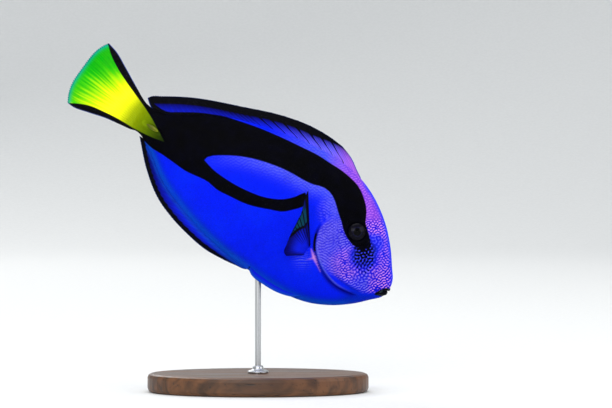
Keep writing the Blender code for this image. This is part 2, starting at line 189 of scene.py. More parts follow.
AIR_COLOUR, AIR_STRENGTH = (0.82, 0.86, 0.92, 1), 0.92
world = bpy.data.worlds.new("studio_air")
bpy.context.scene.world = world
world.use_nodes = True
air = world.node_tree.nodes["Background"].inputs
air["Color"].default_value, air["Strength"].default_value = AIR_COLOUR, AIR_STRENGTH
bpy.context.scene.view_settings.view_transform = "Standard"
print("lens", round(camera_data.lens, 1), "mm")

# %% [markdown]
# ## Helpers for pieces and materials
#
# Nearly every piece here is a formula over a grid of two parameters. Helpers turn such a grid into a mesh,
# whole arrays at once, merge its seam and poles, and make the faces point outwards. Others add shader nodes
# with their settings and links, and turn a colour written in hex into the linear values that shaders use.

# %% Make a mesh from arrays
def write_mesh(name, points, faces, corner_uv, marks, uv_name="grain"):
    """A mesh from arrays: points (n, 3), faces (m, corners), a UV for each corner, and marks by point."""
    mesh = bpy.data.meshes.new(name)
    mesh.vertices.add(len(points))
    mesh.vertices.foreach_set("co", np.ascontiguousarray(points, np.float32).ravel())
    mesh.loops.add(faces.size)
    mesh.loops.foreach_set("vertex_index", np.ascontiguousarray(faces, np.int32).ravel())
    mesh.polygons.add(len(faces))
    mesh.polygons.foreach_set("loop_start", np.arange(len(faces), dtype=np.int32) * faces.shape[1])
    mesh.update(calc_edges=True)
    layer = mesh.uv_layers.new(name=uv_name)
    layer.uv.foreach_set("vector", np.ascontiguousarray(corner_uv, np.float32).ravel())
    for mark, values in marks.items():
        attribute = mesh.attributes.new(mark, "FLOAT", "POINT")
        attribute.data.foreach_set("value", np.ascontiguousarray(values, np.float32).ravel())
    return mesh


def shares(rows, columns):
    """The shares of the way down and across at each point of a grid of this many rows and columns."""
    return np.meshgrid(np.linspace(0, 1, rows + 1), np.linspace(0, 1, columns + 1), indexing="ij")


def grid_mesh(name, points, marks):
    """A mesh of four-cornered faces from a grid of points, with the shares down and across as its UV map."""
    rows, columns = points.shape[0] - 1, points.shape[1] - 1
    first = (np.arange(rows)[:, None] * (columns + 1) + np.arange(columns)).ravel()
    faces = np.stack([first, first + 1, first + columns + 2, first + columns + 1], axis=1)
    uv = np.stack([share.ravel() for share in shares(rows, columns)], axis=1)[faces]
    return write_mesh(name, points.reshape(-1, 3), faces, uv, marks)


# %% Turn a mesh into a finished piece
def finished(name, mesh, material, merge=2e-6):
    """The mesh as a piece of the object: doubles merged, faces outward, shaded smooth, with its finish."""
    shape = bmesh.new()
    shape.from_mesh(mesh)
    if merge:
        bmesh.ops.remove_doubles(shape, verts=shape.verts, dist=merge)
        bmesh.ops.dissolve_degenerate(shape, edges=shape.edges, dist=merge / 4)
    if shape.calc_volume(signed=True) < 0:
        bmesh.ops.reverse_faces(shape, faces=shape.faces)
    shape.to_mesh(mesh)
    shape.free()
    mesh.shade_smooth()
    mesh.materials.append(material)
    piece = linked(name, mesh)
    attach(piece, "root")
    print(f"{name}:", sum(len(face.vertices) - 2 for face in mesh.polygons), "triangles")
    return piece


def surface(name, formula, rows, columns, material, marks=None):
    """A piece whose points, and the marks on it, are functions of (u, v) on a grid."""
    u, v = shares(rows, columns)
    return finished(name, grid_mesh(name, formula(u, v), marks(u, v) if marks else {}), material)


# %% Add shader nodes
def linear(code):
    """An sRGB hex colour as linear red, green, blue and alpha."""
    value = np.array([int(code[i : i + 2], 16) for i in (1, 3, 5)]) / 255
    value = np.where(value <= 0.04045, value / 12.92, ((value + 0.055) / 1.055) ** 2.4)
    return (*value, 1.0)


def add(tree, kind, links=None, stops=None, **settings):
    """Adds a node. links gives each socket a value or another node's output, stops are a ramp's colours."""
    made = tree.nodes.new(kind)
    for key, value in settings.items():
        setattr(made, key, value)
    for i, (position, colour) in enumerate(stops or ()):
        stop = made.color_ramp.elements[i] if i < 2 else made.color_ramp.elements.new(position)
        stop.position, stop.color = position, colour
    for key, value in (links or {}).items():
        if isinstance(value, bpy.types.NodeSocket):
            tree.links.new(value, made.inputs[key])
        else:
            made.inputs[key].default_value = value
    return made


def new_material(name, **constants):
    """A material with a Principled shader whose constant sockets are set, its tree and that shader."""
    made = bpy.data.materials.new(name)
    made.use_nodes = True
    shader = made.node_tree.nodes["Principled BSDF"]
    for key, value in constants.items():
        shader.inputs[key.replace("_", " ")].default_value = value
    return made, made.node_tree, shader


def mark(tree, name):
    """The value of a named attribute."""
    return add(tree, "ShaderNodeAttribute", attribute_name=name).outputs["Fac"]


# %% Mix colours and ranges
def blended(tree, share, first, second, blend="MIX"):
    """Two colours mixed by a share. Each is a hex code, a colour or another node's output."""
    first, second = (linear(c) if isinstance(c, str) else c for c in (first, second))
    mix = add(tree, "ShaderNodeMix", {0: share, 6: first, 7: second}, data_type="RGBA", blend_type=blend)
    return mix.outputs[2]


def ranged(tree, value, low, high, to_low=0.0, to_high=1.0):
    """A value carried from one range to another, and kept inside it."""
    sockets = {"Value": value, "From Min": low, "From Max": high, "To Min": to_low, "To Max": to_high}
    return add(tree, "ShaderNodeMapRange", sockets, interpolation_type="SMOOTHSTEP").outputs["Result"]


def ramp(tree, name, stops):
    """The colour that a named attribute picks from (place, hex code) stops."""
    stops = [(place, linear(code)) for place, code in stops]
    return add(tree, "ShaderNodeValToRGB", {"Fac": mark(tree, name)}, stops).outputs["Color"]


def layered(tree, colour, *layers):
    """A colour under layers of others, each as dense as its named attribute."""
    for name, code in layers:
        colour = blended(tree, mark(tree, name), colour, code)
    return colour


# %% Mottle and dress a surface
def noise(tree, size, detail=3.0, stretch=None, **links):
    """Noise in the object's own space, with blobs this many metres across, drawn out by stretch."""
    place = add(tree, "ShaderNodeTexCoord").outputs["Object"]
    if stretch:
        scale = [1 / factor for factor in stretch]
        place = add(tree, "ShaderNodeMapping", {"Vector": place, "Scale": scale}).outputs["Vector"]
    sockets = {"Vector": place, "Scale": 0.5 / size, "Detail": detail, **links}
    return add(tree, "ShaderNodeTexNoise", sockets).outputs["Fac"]


def mottled(tree, colour, code, size, low, high, most):
    """A colour with blobs of another, this many metres across, where noise rises from low to high."""
    return blended(tree, ranged(tree, noise(tree, size), low, high, 0.0, most), colour, code)


def dress(tree, shader, colour, field, smoothest, roughest, height, depth):
    """Gives the shader a colour, a roughness that a field varies, and a bump this many metres high."""
    tree.links.new(colour, shader.inputs["Base Color"])
    tree.links.new(ranged(tree, field, 0.3, 0.7, smoothest, roughest), shader.inputs["Roughness"])
    bump = add(tree, "ShaderNodeBump", {"Height": height, "Distance": depth, "Strength": 1.0})
    tree.links.new(bump.outputs["Normal"], shader.inputs["Normal"])


print("royal blue is", [round(x, 3) for x in linear("#0a22fa")])

# %% [markdown]
# ## The body's shape
#
# The flesh is one closed skin from lips to tail stalk. Its back and belly lines and its width are short
# lists of sizes by station, and each section across the fish is a lens: from just above mid height, the
# half width falls away as (1 - level ^ 2.4) ^ 0.6. A sculpted mesh would be freer, but a formula keeps the
# skin exactly where the solids are, and gives every scale and marking its place.

# %% Describe the body
TIP, STUMP = -0.004, 1.040
BACK_LINE = (
    (TIP, -0.027), (0.000, -0.003), (0.006, 0.012), (0.030, 0.044), (0.075, 0.101), (0.120, 0.146),
    (0.175, 0.187), (0.235, 0.219), (0.300, 0.240), (0.370, 0.248), (0.450, 0.245), (0.635, 0.209),
    (0.840, 0.130), (0.950, 0.061), (1.000, 0.044), (STUMP, 0.046),
)
BELLY_LINE = (
    (TIP, -0.027), (0.000, -0.050), (0.006, -0.062), (0.030, -0.088), (0.080, -0.139), (0.140, -0.1835),
    (0.212, -0.2175), (0.300, -0.235), (0.370, -0.2365), (0.450, -0.2345), (0.540, -0.230), (0.735, -0.187),
    (0.845, -0.144), (0.950, -0.077), (1.000, -0.054), (STUMP, -0.055),
)
HALF_WIDTH = (
    (TIP, 0.000), (0.000, 0.012), (0.006, 0.019), (0.030, 0.030), (0.120, 0.056), (0.200, 0.070),
    (0.300, 0.077), (0.450, 0.074), (0.635, 0.060), (0.840, 0.037), (0.950, 0.024), (1.000, 0.018),
    (STUMP, 0.008),
)
# A section's two powers, and how far above its middle it is widest, as a share of half its height.
FLANK, EDGE, SHOULDER = 2.4, 0.60, 0.10
# The skin lies this far inside the solids, in metres, to leave room for the scales.
COAT_DEPTH = 0.00012


def body_line(line, station):
    """A line of the body, curved in the root of the distance from the tip, which rounds the snout."""
    rooted = [(math.sqrt(max(at - TIP, 0.0)), value) for at, value in line]
    return smooth(rooted, np.sqrt(np.maximum(np.asarray(station, float) - TIP, 0.0)))


def half_width(station, height):
    """The body's half width in metres at a station and height, nothing on its back and belly lines."""
    top, bottom = body_line(BACK_LINE, station), body_line(BELLY_LINE, station)
    level = np.clip((2 * height - top - bottom) / np.maximum(top - bottom, 1e-4), -1, 1)
    level = np.abs(level - SHOULDER * (1 - level**2))
    widest = LENGTH * body_line(HALF_WIDTH, station)
    return widest * (1 - np.minimum(level, 1) ** FLANK) ** EDGE


print("the body is", round(2000 * float(half_width(0.3, 0.0)), 1), "mm wide behind the gill cover")

# %% [markdown]
# ## Lines on the body
#
# The gill cover's edge, the mouth, the eye and the black band are all lines drawn on the fish's side. Each
# is a few points under one name, and what a surface does near it depends on how far away it is. One
# function measures that distance for whole arrays, another tells inside from outside of a closed outline.

# %% Measure distances to lines
MM = LENGTH * 1000


def line_distance(line, x, y, pieces=60):
    """Distance in mm from points to a smooth line, positive to the line's left as it runs, and the share
    of the line where the nearest place is. Each short straight piece of the line is tried, and the
    nearest kept."""
    path = along(line, np.linspace(0, 1, pieces + 1)) * MM
    start, step = path[:-1], np.diff(path, axis=0)
    flat_x, flat_y = np.ravel(x), np.ravel(y)
    best = np.full(flat_x.shape, 1e9)
    side, share = np.ones(flat_x.shape), np.zeros(flat_x.shape)
    for k in range(pieces):
        dx, dy = flat_x - start[k, 0], flat_y - start[k, 1]
        t = np.clip((dx * step[k, 0] + dy * step[k, 1]) / (step[k] @ step[k]), 0, 1)
        gap = np.hypot(dx - t * step[k, 0], dy - t * step[k, 1])
        near = gap < best
        best = np.where(near, gap, best)
        side = np.where(near, np.sign(step[k, 0] * dy - step[k, 1] * dx), side)
        share = np.where(near, (k + t) / pieces, share)
    return (best * side).reshape(np.shape(x)), share.reshape(np.shape(x))


def gap_to(line, x, y, pieces=60):
    """Distance in mm from points to a smooth line, whichever side they are on."""
    return np.abs(line_distance(line, x, y, pieces)[0])


def outline_distance(outline, x, y, pieces=160):
    """Distance in mm to a closed outline, negative inside it. A point is inside where a level ray from it
    crosses the outline an odd number of times."""
    closed = (*outline, outline[0])
    gap = gap_to(closed, x, y, pieces)
    path = along(closed, np.linspace(0, 1, pieces + 1)) * MM
    inside = np.zeros(np.shape(x), bool)
    for (ax, ay), (bx, by) in zip(path[:-1], path[1:]):
        crosses = (ay > y) != (by > y)
        inside ^= crosses & (x < ax + (y - ay) * (bx - ax) / ((by - ay) or 1e-9))
    return np.where(inside, -gap, gap)


# %% Draw the lines
# Each line as (station, height) points. A nostril's last number is its radius in mm, and so is EYE_RADIUS.
GILL_EDGE = (
    (0.292, 0.084), (0.303, 0.060), (0.309, 0.031), (0.301, -0.011), (0.285, -0.041), (0.251, -0.073),
    (0.207, -0.098), (0.162, -0.109), (0.115, -0.106), (0.072, -0.096),
)
CHEEK_EDGE = ((0.236, 0.010), (0.216, -0.050), (0.178, -0.080), (0.121, -0.089), (0.071, -0.084))
GAPE = ((-0.012, -0.031), (0.000, -0.033), (0.012, -0.041), (0.024, -0.052), (0.036, -0.065))
EYE = np.array([0.198, 0.080])
EYE_RADIUS = 5.5
NOSTRILS = ((0.150, 0.076, 0.55), (0.139, 0.072, 0.38))
LATERAL_LINE = (
    (0.300, 0.120), (0.400, 0.165), (0.520, 0.165), (0.680, 0.118), (0.820, 0.050), (0.950, -0.005),
)
BELLY_FOLD = ((0.372, -0.108), (0.396, -0.150), (0.418, -0.200), (0.428, -0.2355))
SPINE_GROOVE = ((0.938, -0.012), (1.000, -0.012))
FIN_ROOT = np.array([0.302, -0.068])

print("the eye is", round(float(gap_to(GILL_EDGE, *(EYE * MM))), 1), "mm from the gill cover's edge")

# %% [markdown]
# ## Relief
#
# The small forms come from the same distances: the gill cover is a plate that stands proud and ends in a
# groove, the lips are two rolls either side of the gape, the eye sits in a rimmed socket, and there are two
# nostrils, a faint lateral line, the muscle at the side fin's root and the slot that the tail spine folds
# into. They are worked out as millimetres of lift along the skin's own normal, so they stay in the mesh and
# not only in a bump.

# %% Work out the relief
# How far each small form stands proud of the flesh or is sunk into it, in mm.
GILL_PROUD = GILL_SUNK = 0.50
CHEEK_PROUD, CHEEK_SUNK = 0.12, 0.10
LIPS_PROUD, GAPE_SUNK, LIP_FOLD_SUNK = 0.55, 0.80, 0.14
SOCKET_PROUD, SOCKET_SUNK = 0.25, 0.9
NOSTRIL_PROUD, NOSTRIL_SUNK = 0.16, 0.5
LATERAL_PROUD, LATERAL_SUNK = 0.05, 0.09
BELLY_FOLD_SUNK, FIN_ROOT_PROUD = 0.22, 0.40
SLOT_PROUD, SLOT_SUNK = 0.15, 0.45


def mouth_at(x, y):
    """The distance from the gape in mm, the share of its length, and how far the lips have tapered there."""
    gape, share = line_distance(GAPE, x, y)
    return gape, share, np.sqrt(1 - ease(0.20, 1.0, share))


def spot_distance(spot, x, y):
    """Distance in mm from a spot given by its station and height."""
    return np.hypot(x - spot[0] * MM, y - spot[1] * MM)


def relief(x, y):
    """Millimetres of lift at x mm behind the snout and y mm above the axis, a sum of bells about lines."""
    gill, share = line_distance(GILL_EDGE, x, y)
    reach = ease(0.0, 0.08, share) * (1 - ease(0.93, 1.0, share))
    lift = reach * GILL_PROUD * np.where(gill < 0, hump(gill, 5.0), hump(gill, 0.35))
    lift -= reach * GILL_SUNK * hump(gill - 0.95, 0.65)
    cheek, share = line_distance(CHEEK_EDGE, x, y)
    reach = ease(0.0, 0.25, share) * (1 - ease(0.8, 1.0, share))
    lift += reach * (CHEEK_PROUD * hump(cheek + 1.2, 1.1) - CHEEK_SUNK * hump(cheek - 0.2, 0.7))
    gape, _, taper = mouth_at(x, y)
    lips = LIPS_PROUD * hump(np.abs(gape + 0.25) - 1.35 * taper, 0.25 + 0.70 * taper)
    lips = lips - GAPE_SUNK * hump(gape, 0.28)
    lift += taper * (lips - LIP_FOLD_SUNK * hump(np.abs(gape) - 2.6 * taper, 0.5))
    around = spot_distance(EYE, x, y)
    lift += SOCKET_PROUD * hump(around - 6.3, 0.75) - SOCKET_SUNK * (1 - ease(4.6, 5.7, around))
    for *spot, radius in NOSTRILS:
        around = spot_distance(spot, x, y)
        lift += NOSTRIL_PROUD * hump(around - radius - 0.35, 0.25) - NOSTRIL_SUNK * hump(around, radius)
    lateral = line_distance(LATERAL_LINE, x, y)[0]
    lift += LATERAL_PROUD * hump(lateral, 0.55) - LATERAL_SUNK * hump(lateral, 0.22)
    fold, share = line_distance(BELLY_FOLD, x, y)
    lift -= BELLY_FOLD_SUNK * hump(fold, 1.5) * ease(0, 0.2, share)
    root = np.hypot((x - FIN_ROOT[0] * MM) / 1.2, (y - FIN_ROOT[1] * MM) / 1.5)
    lift += FIN_ROOT_PROUD * hump(root, 2.4)
    slot = gap_to(SPINE_GROOVE, x, y)
    return lift + SLOT_PROUD * hump(slot - 1.9, 0.6) - SLOT_SUNK * hump(slot, 1.1)


# %% Build the arrays of the skin
# The rows crowd towards the snout, where the detail is finest, and a little towards the stump.
SKIN_ROWS, SKIN_COLUMNS, CROWDING, STUMP_ROUNDING = 400, 224, 1.75, 0.026
skin_u, skin_v = shares(SKIN_ROWS, SKIN_COLUMNS)
station = TIP + (STUMP - TIP) * skin_u**CROWDING * (1 - 0.42 * skin_u) / 0.58
angle = 2 * math.pi * (skin_v - 0.25)
top, bottom = body_line(BACK_LINE, station), body_line(BELLY_LINE, station)
height = (top + bottom) / 2 + (top - bottom) / 2 * np.sin(angle)
side = half_width(station, height) * np.sign(np.round(np.cos(angle), 6))
side *= np.sqrt(np.clip((STUMP - station) / STUMP_ROUNDING, 0, 1))
centre = placed(station, (top + bottom) / 2, 0 * side)


def unit(vectors):
    """Vectors made one long."""
    return vectors / np.maximum(np.linalg.norm(vectors, axis=-1, keepdims=True), 1e-12)


def grid_slopes(points):
    """Steps along and across a grid of points that closes on itself across, and its unit normal away from
    the body's centre."""
    run = np.gradient(points, axis=0)
    turn = np.concatenate([points[:, -2:-1], points, points[:, 1:2]], axis=1)
    turn = (turn[:, 2:] - turn[:, :-2]) / 2
    out = unit(np.cross(run, turn))
    return run, turn, out * np.sign(np.sum(out * (points - centre), axis=-1).mean())


bare = placed(station, height, side)
out = grid_slopes(bare)[2]
out[0] = out[1].mean(axis=0) / np.linalg.norm(out[1].mean(axis=0))
SKIN_X, SKIN_Y = station * MM, height * MM
lift = relief(SKIN_X, SKIN_Y)
skin = bare + out * ((lift / 1000 - COAT_DEPTH)[..., None])
skin[0] = skin[0].mean(axis=0)
skin_run, skin_turn, skin_out = grid_slopes(skin)
print("skin grid", skin.shape, "lift from", round(float(lift.min()), 2), "mm")

# %% [markdown]
# ## Markings
#
# A regal blue tang is cobalt with a black band that runs from the eye along the back, sends an arm forward
# along the flank and so rings an oval of blue. The forehead's violet, the rose of the snout's dashes and the
# pale violet under the band are painted sheen, and the deeper blue of the belly is painted shade. Below the
# eye the band breaks up into ink dots, and the snout and cheeks carry short fine dashes. The band is a
# closed outline, and its distance becomes a value on the mesh. The dashes and dots are a sum of waves of
# nearly one wavelength that run in many directions, which is how such skin patterns grow. The shader turns
# these values into colours, so that skin and scales agree.

# %% Draw the band
BAND_TOP = (
    (1.060, 0.064), (1.020, 0.060), (0.985, 0.058), (0.965, 0.0605), (0.922, 0.086), (0.865, 0.121),
    (0.818, 0.1435), (0.787, 0.157), (0.735, 0.172), (0.677, 0.187), (0.588, 0.204), (0.519, 0.214),
    (0.443, 0.223), (0.402, 0.223), (0.362, 0.224), (0.319, 0.220), (0.283, 0.212), (0.240, 0.186),
    (0.213, 0.160),
)
BAND_HEAD = (
    (0.199, 0.136), (0.190, 0.118), (0.174, 0.106), (0.158, 0.092), (0.142, 0.076), (0.130, 0.060),
    (0.134, 0.044), (0.152, 0.036), (0.174, 0.034), (0.195, 0.037), (0.218, 0.045), (0.239, 0.058),
    (0.259, 0.077), (0.279, 0.092),
)
BAND_UNDERSIDE = (
    (0.296, 0.106), (0.316, 0.123), (0.339, 0.137), (0.358, 0.142), (0.376, 0.142), (0.414, 0.130),
    (0.442, 0.126), (0.499, 0.122), (0.567, 0.109), (0.645, 0.083), (0.714, 0.045), (0.752, 0.015),
)
BAND_ARM = (
    (0.762, -0.001), (0.734, -0.011), (0.664, -0.017), (0.583, -0.010), (0.518, 0.006), (0.469, 0.032),
    (0.435, 0.067), (0.417, 0.094), (0.400, 0.080), (0.397, 0.052), (0.418, 0.025), (0.446, -0.003),
    (0.482, -0.019), (0.526, -0.038), (0.564, -0.050), (0.617, -0.058), (0.667, -0.064), (0.715, -0.059),
    (0.749, -0.064), (0.794, -0.071), (0.840, -0.070), (0.890, -0.069), (0.934, -0.071), (0.987, -0.064),
    (1.060, -0.070),
)
BAND = (*BAND_TOP, *BAND_HEAD, *BAND_UNDERSIDE, *BAND_ARM)
YELLOW = (
    (0.908, -0.029), (0.952, -0.006), (0.996, 0.016), (1.037, 0.032), (1.078, 0.047), (1.1245, 0.064),
    (1.189, 0.091), (1.236, 0.118), (1.264, 0.141), (1.305, 0.165), (1.345, 0.020), (1.305, -0.130),
    (1.264, -0.101), (1.201, -0.070), (1.140, -0.058), (1.0745, -0.051), (1.026, -0.049), (0.974, -0.043),
    (0.936, -0.036),
)
PROFILE = BACK_LINE[1:10]
GLINT = ((0.296, -0.054), (0.274, -0.072), (0.2555, -0.084), (0.227, -0.102))
GLINT_ARM = ((0.272, -0.074), (0.281, -0.085), (0.292, -0.096))
# The middles of the throat's painted shade and of the wisps below the side fin.
THROAT_SHADE, WISPS = (0.085, -0.112), (0.300, -0.099)
print("points in the band's outline:", len(BAND), "and in the yellow's:", len(YELLOW))

# %% Place the head's patches
# Patches of the head: middle as (mm ahead of the snout, mm above it) in the tipped pose, and the two
# radii. LEVEL is the heading of the waves whose dashes lie level in that pose, and the lengths are in mm
# from dash to dash.
INK_DOTS = ((-15.4, 11.2), (7.6, 10.6))
# The cheek's patch where the dashes take a painted rose sheen.
CHEEK_SHEEN = ((-24.5, 10.5), (8.5, 8.0))
DUSKY_PATCH = ((-10.0, 21.5), (5.2, 5.0))
SHOULDER_PATCH = ((-33.5, 38.5), (5.8, 7.0))
LEVEL = math.pi / 2 - NOSE_DOWN
DOT_LENGTH, DASH_LENGTH, LINE_LENGTH, FLECK_LENGTH = 1.70, 1.30, 1.35, 1.50


def tipped(x, y):
    """How many mm ahead of the snout and above it a place is, with the fish turned nose down."""
    down, level = math.sin(NOSE_DOWN), math.cos(NOSE_DOWN)
    return y * down - x * level, x * down + y * level


def within(patch, ahead, rise):
    """1 inside a soft-edged ellipse and 0 outside it."""
    (middle_ahead, middle_rise), (wide, tall) = patch
    return ease(1.45, 0.55, np.hypot((ahead - middle_ahead) / wide, (rise - middle_rise) / tall))


# %% Draw the head's pattern
def waves(x, y, length, heading=0.0, spread=math.pi, seed=1, count=40):
    """A pattern of about one wavelength (mm): a sum of cosine waves whose headings are drawn within a
    spread, and whose lengths differ by up to an eighth."""
    rng = np.random.default_rng(seed)
    angles = heading + spread * rng.uniform(-1, 1, count)
    numbers = 2 * math.pi / length * rng.uniform(0.87, 1.14, count)
    phases = rng.uniform(0, 2 * math.pi, count)
    total = np.zeros(np.shape(x))
    for angle, number, phase in zip(angles, numbers, phases):
        total += np.cos(number * (x * math.cos(angle) + y * math.sin(angle)) + phase)
    return total / math.sqrt(count / 2)


def head_pattern(x, y, ahead, rise, band):
    """The dashes and dots of the snout and cheek, and the band's distance where it breaks up into ink
    dots: a place there is inked unless its wave is high, and less needs to be high as the band gets
    farther away."""
    dotted = waves(x, y, DOT_LENGTH, seed=7)
    dashed = waves(x, y, DASH_LENGTH, LEVEL, math.radians(66), 8)
    lined = waves(x, y, LINE_LENGTH, LEVEL, math.radians(40), 9)
    inky, rear = within(INK_DOTS, ahead, rise), ease(-26, -35, ahead)
    dusky = within(DUSKY_PATCH, ahead, rise)
    maze = ease(0.34, 0.70, dashed) * (1 - rear) + ease(-0.2, 0.9, lined) * rear
    spotted = np.maximum(inky, dusky)
    maze = maze * (1 - spotted) + ease(0.40, 0.90, dotted) * spotted
    gill = line_distance(GILL_EDGE, x, y)[0]
    above_jaw = np.minimum(rise - 5.9 + 0.60 * (ahead + 33.3), 1.6 * (rise + 4.9))
    on_head = ease(0.4, -0.6, gill) * ease(38, 31, rise)
    # Painted sheen: the dashes of the snout and cheek turn rose, as violet light on the scales would make
    # them.
    snout = ease(-14.5, -10.5, ahead) * (1 - 0.95 * dusky)
    # The brow's violet is a painted sheen of light from above.
    brow_sheen = ease(0, 2.5, ahead + 20 + 0.414 * (rise - 29.3))
    brow_sheen = brow_sheen * ease(25, 31, rise) * ease(0.46, 0.28, x / MM)
    loose = 0.6 * (dotted - 1.02 + 0.18 * np.maximum(band, -2))
    patterned = on_head * ease(-1.5, 2.0, above_jaw) * (0.95 - 0.35 * rear * (1 - inky))
    patterned = np.maximum(patterned, 0.40 * within(SHOULDER_PATCH, ahead, rise))
    return {
        "band": np.where(band > -2, band + (loose - band) * inky, band),
        "maze": maze,
        "patterned": np.maximum(patterned, 0.35 * brow_sheen),
        "inky": np.clip(inky * ease(15, 2, band) + 0.35 * dusky, 0, 1),
        "pink_sheen": np.clip(snout + 0.8 * within(CHEEK_SHEEN, ahead, rise) + brow_sheen, 0, 1),
        "sheen": on_head * ease(-2, 5, above_jaw),
        "blush": brow_sheen,
    }


# %% Gather every marking
def ripeness(x, y):
    """0 at the yellow's tip on the body and 1 at the tail's rim, riper towards the upper lobe."""
    skew = np.where(y > 0, 0.75, 0.26) * ease(158, 190, x)
    return np.clip((x + skew * y - 142) / (203 - 142), 0, 1)


def markings(x, y):
    """Every marking's value by name. Distances are in mm and shares run from 0 to 1."""
    ahead, rise = tipped(x, y)
    station = x / MM
    values = head_pattern(x, y, ahead, rise, outline_distance(BAND, x, y))
    gill, at = line_distance(GILL_EDGE, x, y)
    # Painted shade: black in the upper part of the gill slit.
    slit_shade = hump(gill - 0.9, 0.75) * span(y / MM, -0.064, -0.050, -0.006, 0.010)
    values["band"] = np.minimum(values["band"], 1.4 * (0.55 - slit_shade))
    # Painted shade: navy along the gill groove, and in the cheek's crease below it.
    fold = hump(gill - 0.9, 0.85 + 0.35 * ease(0.45, 0.70, at)) * span(at, 0.10, 0.24, 0.92, 1.0)
    cheek, share = line_distance(CHEEK_EDGE, x, y)
    crease_shade = 0.4 * hump(cheek, 0.6) * span(share, 0.40, 0.60, 0.9, 1.0)
    gape, along_gape, taper = mouth_at(x, y)
    above_keel = y - MM * body_line(BELLY_LINE, station)
    below_back = MM * body_line(BACK_LINE, station) - y
    under_band = gap_to(BAND_UNDERSIDE, x, y)
    # A painted violet sheen in flecks under the band and along the nape; wisps below the side fin join it.
    flecks = ease(-0.5, 1.0, waves(x, y, FLECK_LENGTH, LEVEL, math.radians(50), 12))
    lilac_sheen = 0.75 * hump(under_band, 5.0) * ease(0.80, 0.55, station) * (0.45 + 0.65 * flecks)
    shoulder = hump(below_back, 7.5) * span(station, 0.22, 0.30, 0.38, 0.66)
    beside, share = line_distance(GLINT, x, y, 20)
    glint = hump(beside, 0.25 + 0.45 * hump(share - 0.38, 0.25)) * (0.35 + 0.65 * hump(share - 0.38, 0.3))
    beside, share = line_distance(GLINT_ARM, x, y, 12)
    glint = glint + 0.8 * hump(beside, 0.55 - 0.35 * share) * (1 - share)
    wisps = hump(spot_distance(WISPS, x, y), 4.2)
    wisps = wisps * ease(0.2, 0.9, np.cos(5 * rise + 1.2 * waves(x, y, 7.0, seed=4)))
    return {
        **values,
        "wedge": outline_distance(YELLOW, x, y),
        "lilac_sheen": np.clip(lilac_sheen + shoulder * (0.5 + 0.5 * flecks) + 0.8 * wisps, 0, 1),
        "fold": np.maximum(fold, crease_shade),
        # A painted highlight along the gill cover's raised edge.
        "rim": 0.5 * hump(gill + 0.5, 0.45) * span(at, 0.25, 0.40, 0.7, 0.95),
        # A painted rim light: brighter blue along the head's front outline.
        "profile": hump(line_distance(PROFILE, x, y)[0], 1.5) * ease(0.29, 0.25, station),
        "lips": ease(3.1 * taper, 2.3 * taper - 0.1, np.abs(gape + 0.7)) * ease(0.99, 0.93, along_gape),
        # Painted shade: deeper blue along the belly's lower edge and at the throat.
        "belly": np.clip(ease(7.5, 0.5, above_keel) + 0.85 * hump(spot_distance(THROAT_SHADE, x, y), 6.0), 0, 1),
        # A painted rim light: brighter blue along the lower edge.
        "keel": hump(above_keel - 1.2, 1.9) * ease(0.05, 0.12, station),
        "glint": np.clip(glint, 0, 1) * ease(0.0, 0.3, gill),
        "ripe": ripeness(x, y),
    }


skin_marks = markings(SKIN_X, SKIN_Y)
print("share of the skin in the band:", round(float((skin_marks["band"] < 0).mean()), 3))

# %% [markdown]
# ## Skin as a material
#
# Fish skin is scales and clear slime over pigment cells. The slime is nearly water, so the IOR is 1.36, and
# the fine rough scales under it scatter most of the gloss: the flank looks like velvet and its colour stays
# nearly pure, with next to no red. The same material dresses skin and scales. A share or distance written
# on the mesh picks each colour, noise in real millimetres mottles it, and every scale gets its own slight
# tint. Painting a texture by hand would be the usual way, but values on the mesh stay sharp and match on
# both sides.

# %% Make the skin's material
# The tail's yellow by ripeness: olive at its tip on the body, clear yellow, then green.
YELLOW_STOPS = (
    (0.00, "#12200a"), (0.08, "#2d4004"), (0.18, "#587203"), (0.28, "#7a9202"), (0.38, "#9cac03"),
    (0.47, "#e2e610"), (0.57, "#fcfd20"), (0.67, "#e0f70a"), (0.77, "#a0e404"), (0.87, "#48c804"),
    (0.94, "#1cb806"), (1.00, "#08ac0a"),
)
# Half the width in mm over which an edge between two colours softens.
BAND_SOFT, WEDGE_SOFT, FIN_SOFT = 0.28, 0.22, 0.25

skin_finish, tree, shader = new_material("scaled_fish_skin", IOR=1.36, Specular_IOR_Level=0.05)
# Painted light in these colours: the head's violet-blue, the pale violet under the band and the forehead's
# violet are painted sheen, the belly's deeper blue is painted shade, the keel's brighter blue painted rim
# light.
blue = blended(tree, mark(tree, "sheen"), "#0420ff", "#5049ea")
blue = layered(
    tree, blue, ("lilac_sheen", "#6a72f0"), ("belly", "#0226cc"), ("keel", "#064cd0"), ("blush", "#a450e8")
)
# The rose dashes, and the deeper blue between them, are painted sheen.
light = blended(tree, mark(tree, "pink_sheen"), "#8e84fa", "#f09cf8")
light = blended(tree, ranged(tree, mark(tree, "inky"), 0.0, 0.6), light, "#3c46ff")
dark = blended(tree, mark(tree, "pink_sheen"), "#1c18e6", "#0802dc")
dark = blended(tree, ranged(tree, mark(tree, "inky"), 0.35, 0.95), dark, "#03030e")
pattern = blended(tree, mark(tree, "maze"), dark, light)
# A painted rim light on the head's front outline, a painted highlight on the gill cover's edge, painted
# shade in the gill groove and a painted highlight in the streak behind the gill.
blue = layered(
    tree, blue, ("patterned", pattern), ("profile", "#1c3afc"), ("rim", "#7a86fa"), ("fold", "#00007c"),
    ("glint", "#d890e0"),
)
blue = mottled(tree, blue, "#0412b4", 0.006, 0.40, 0.75, 0.15)
blue = mottled(tree, blue, "#0434ff", 0.014, 0.45, 0.75, 0.35)
ink = mottled(tree, "#010104", "#02020e", 0.003, 0.3, 0.8, 1.0)
yellow = ramp(tree, "ripe", YELLOW_STOPS)
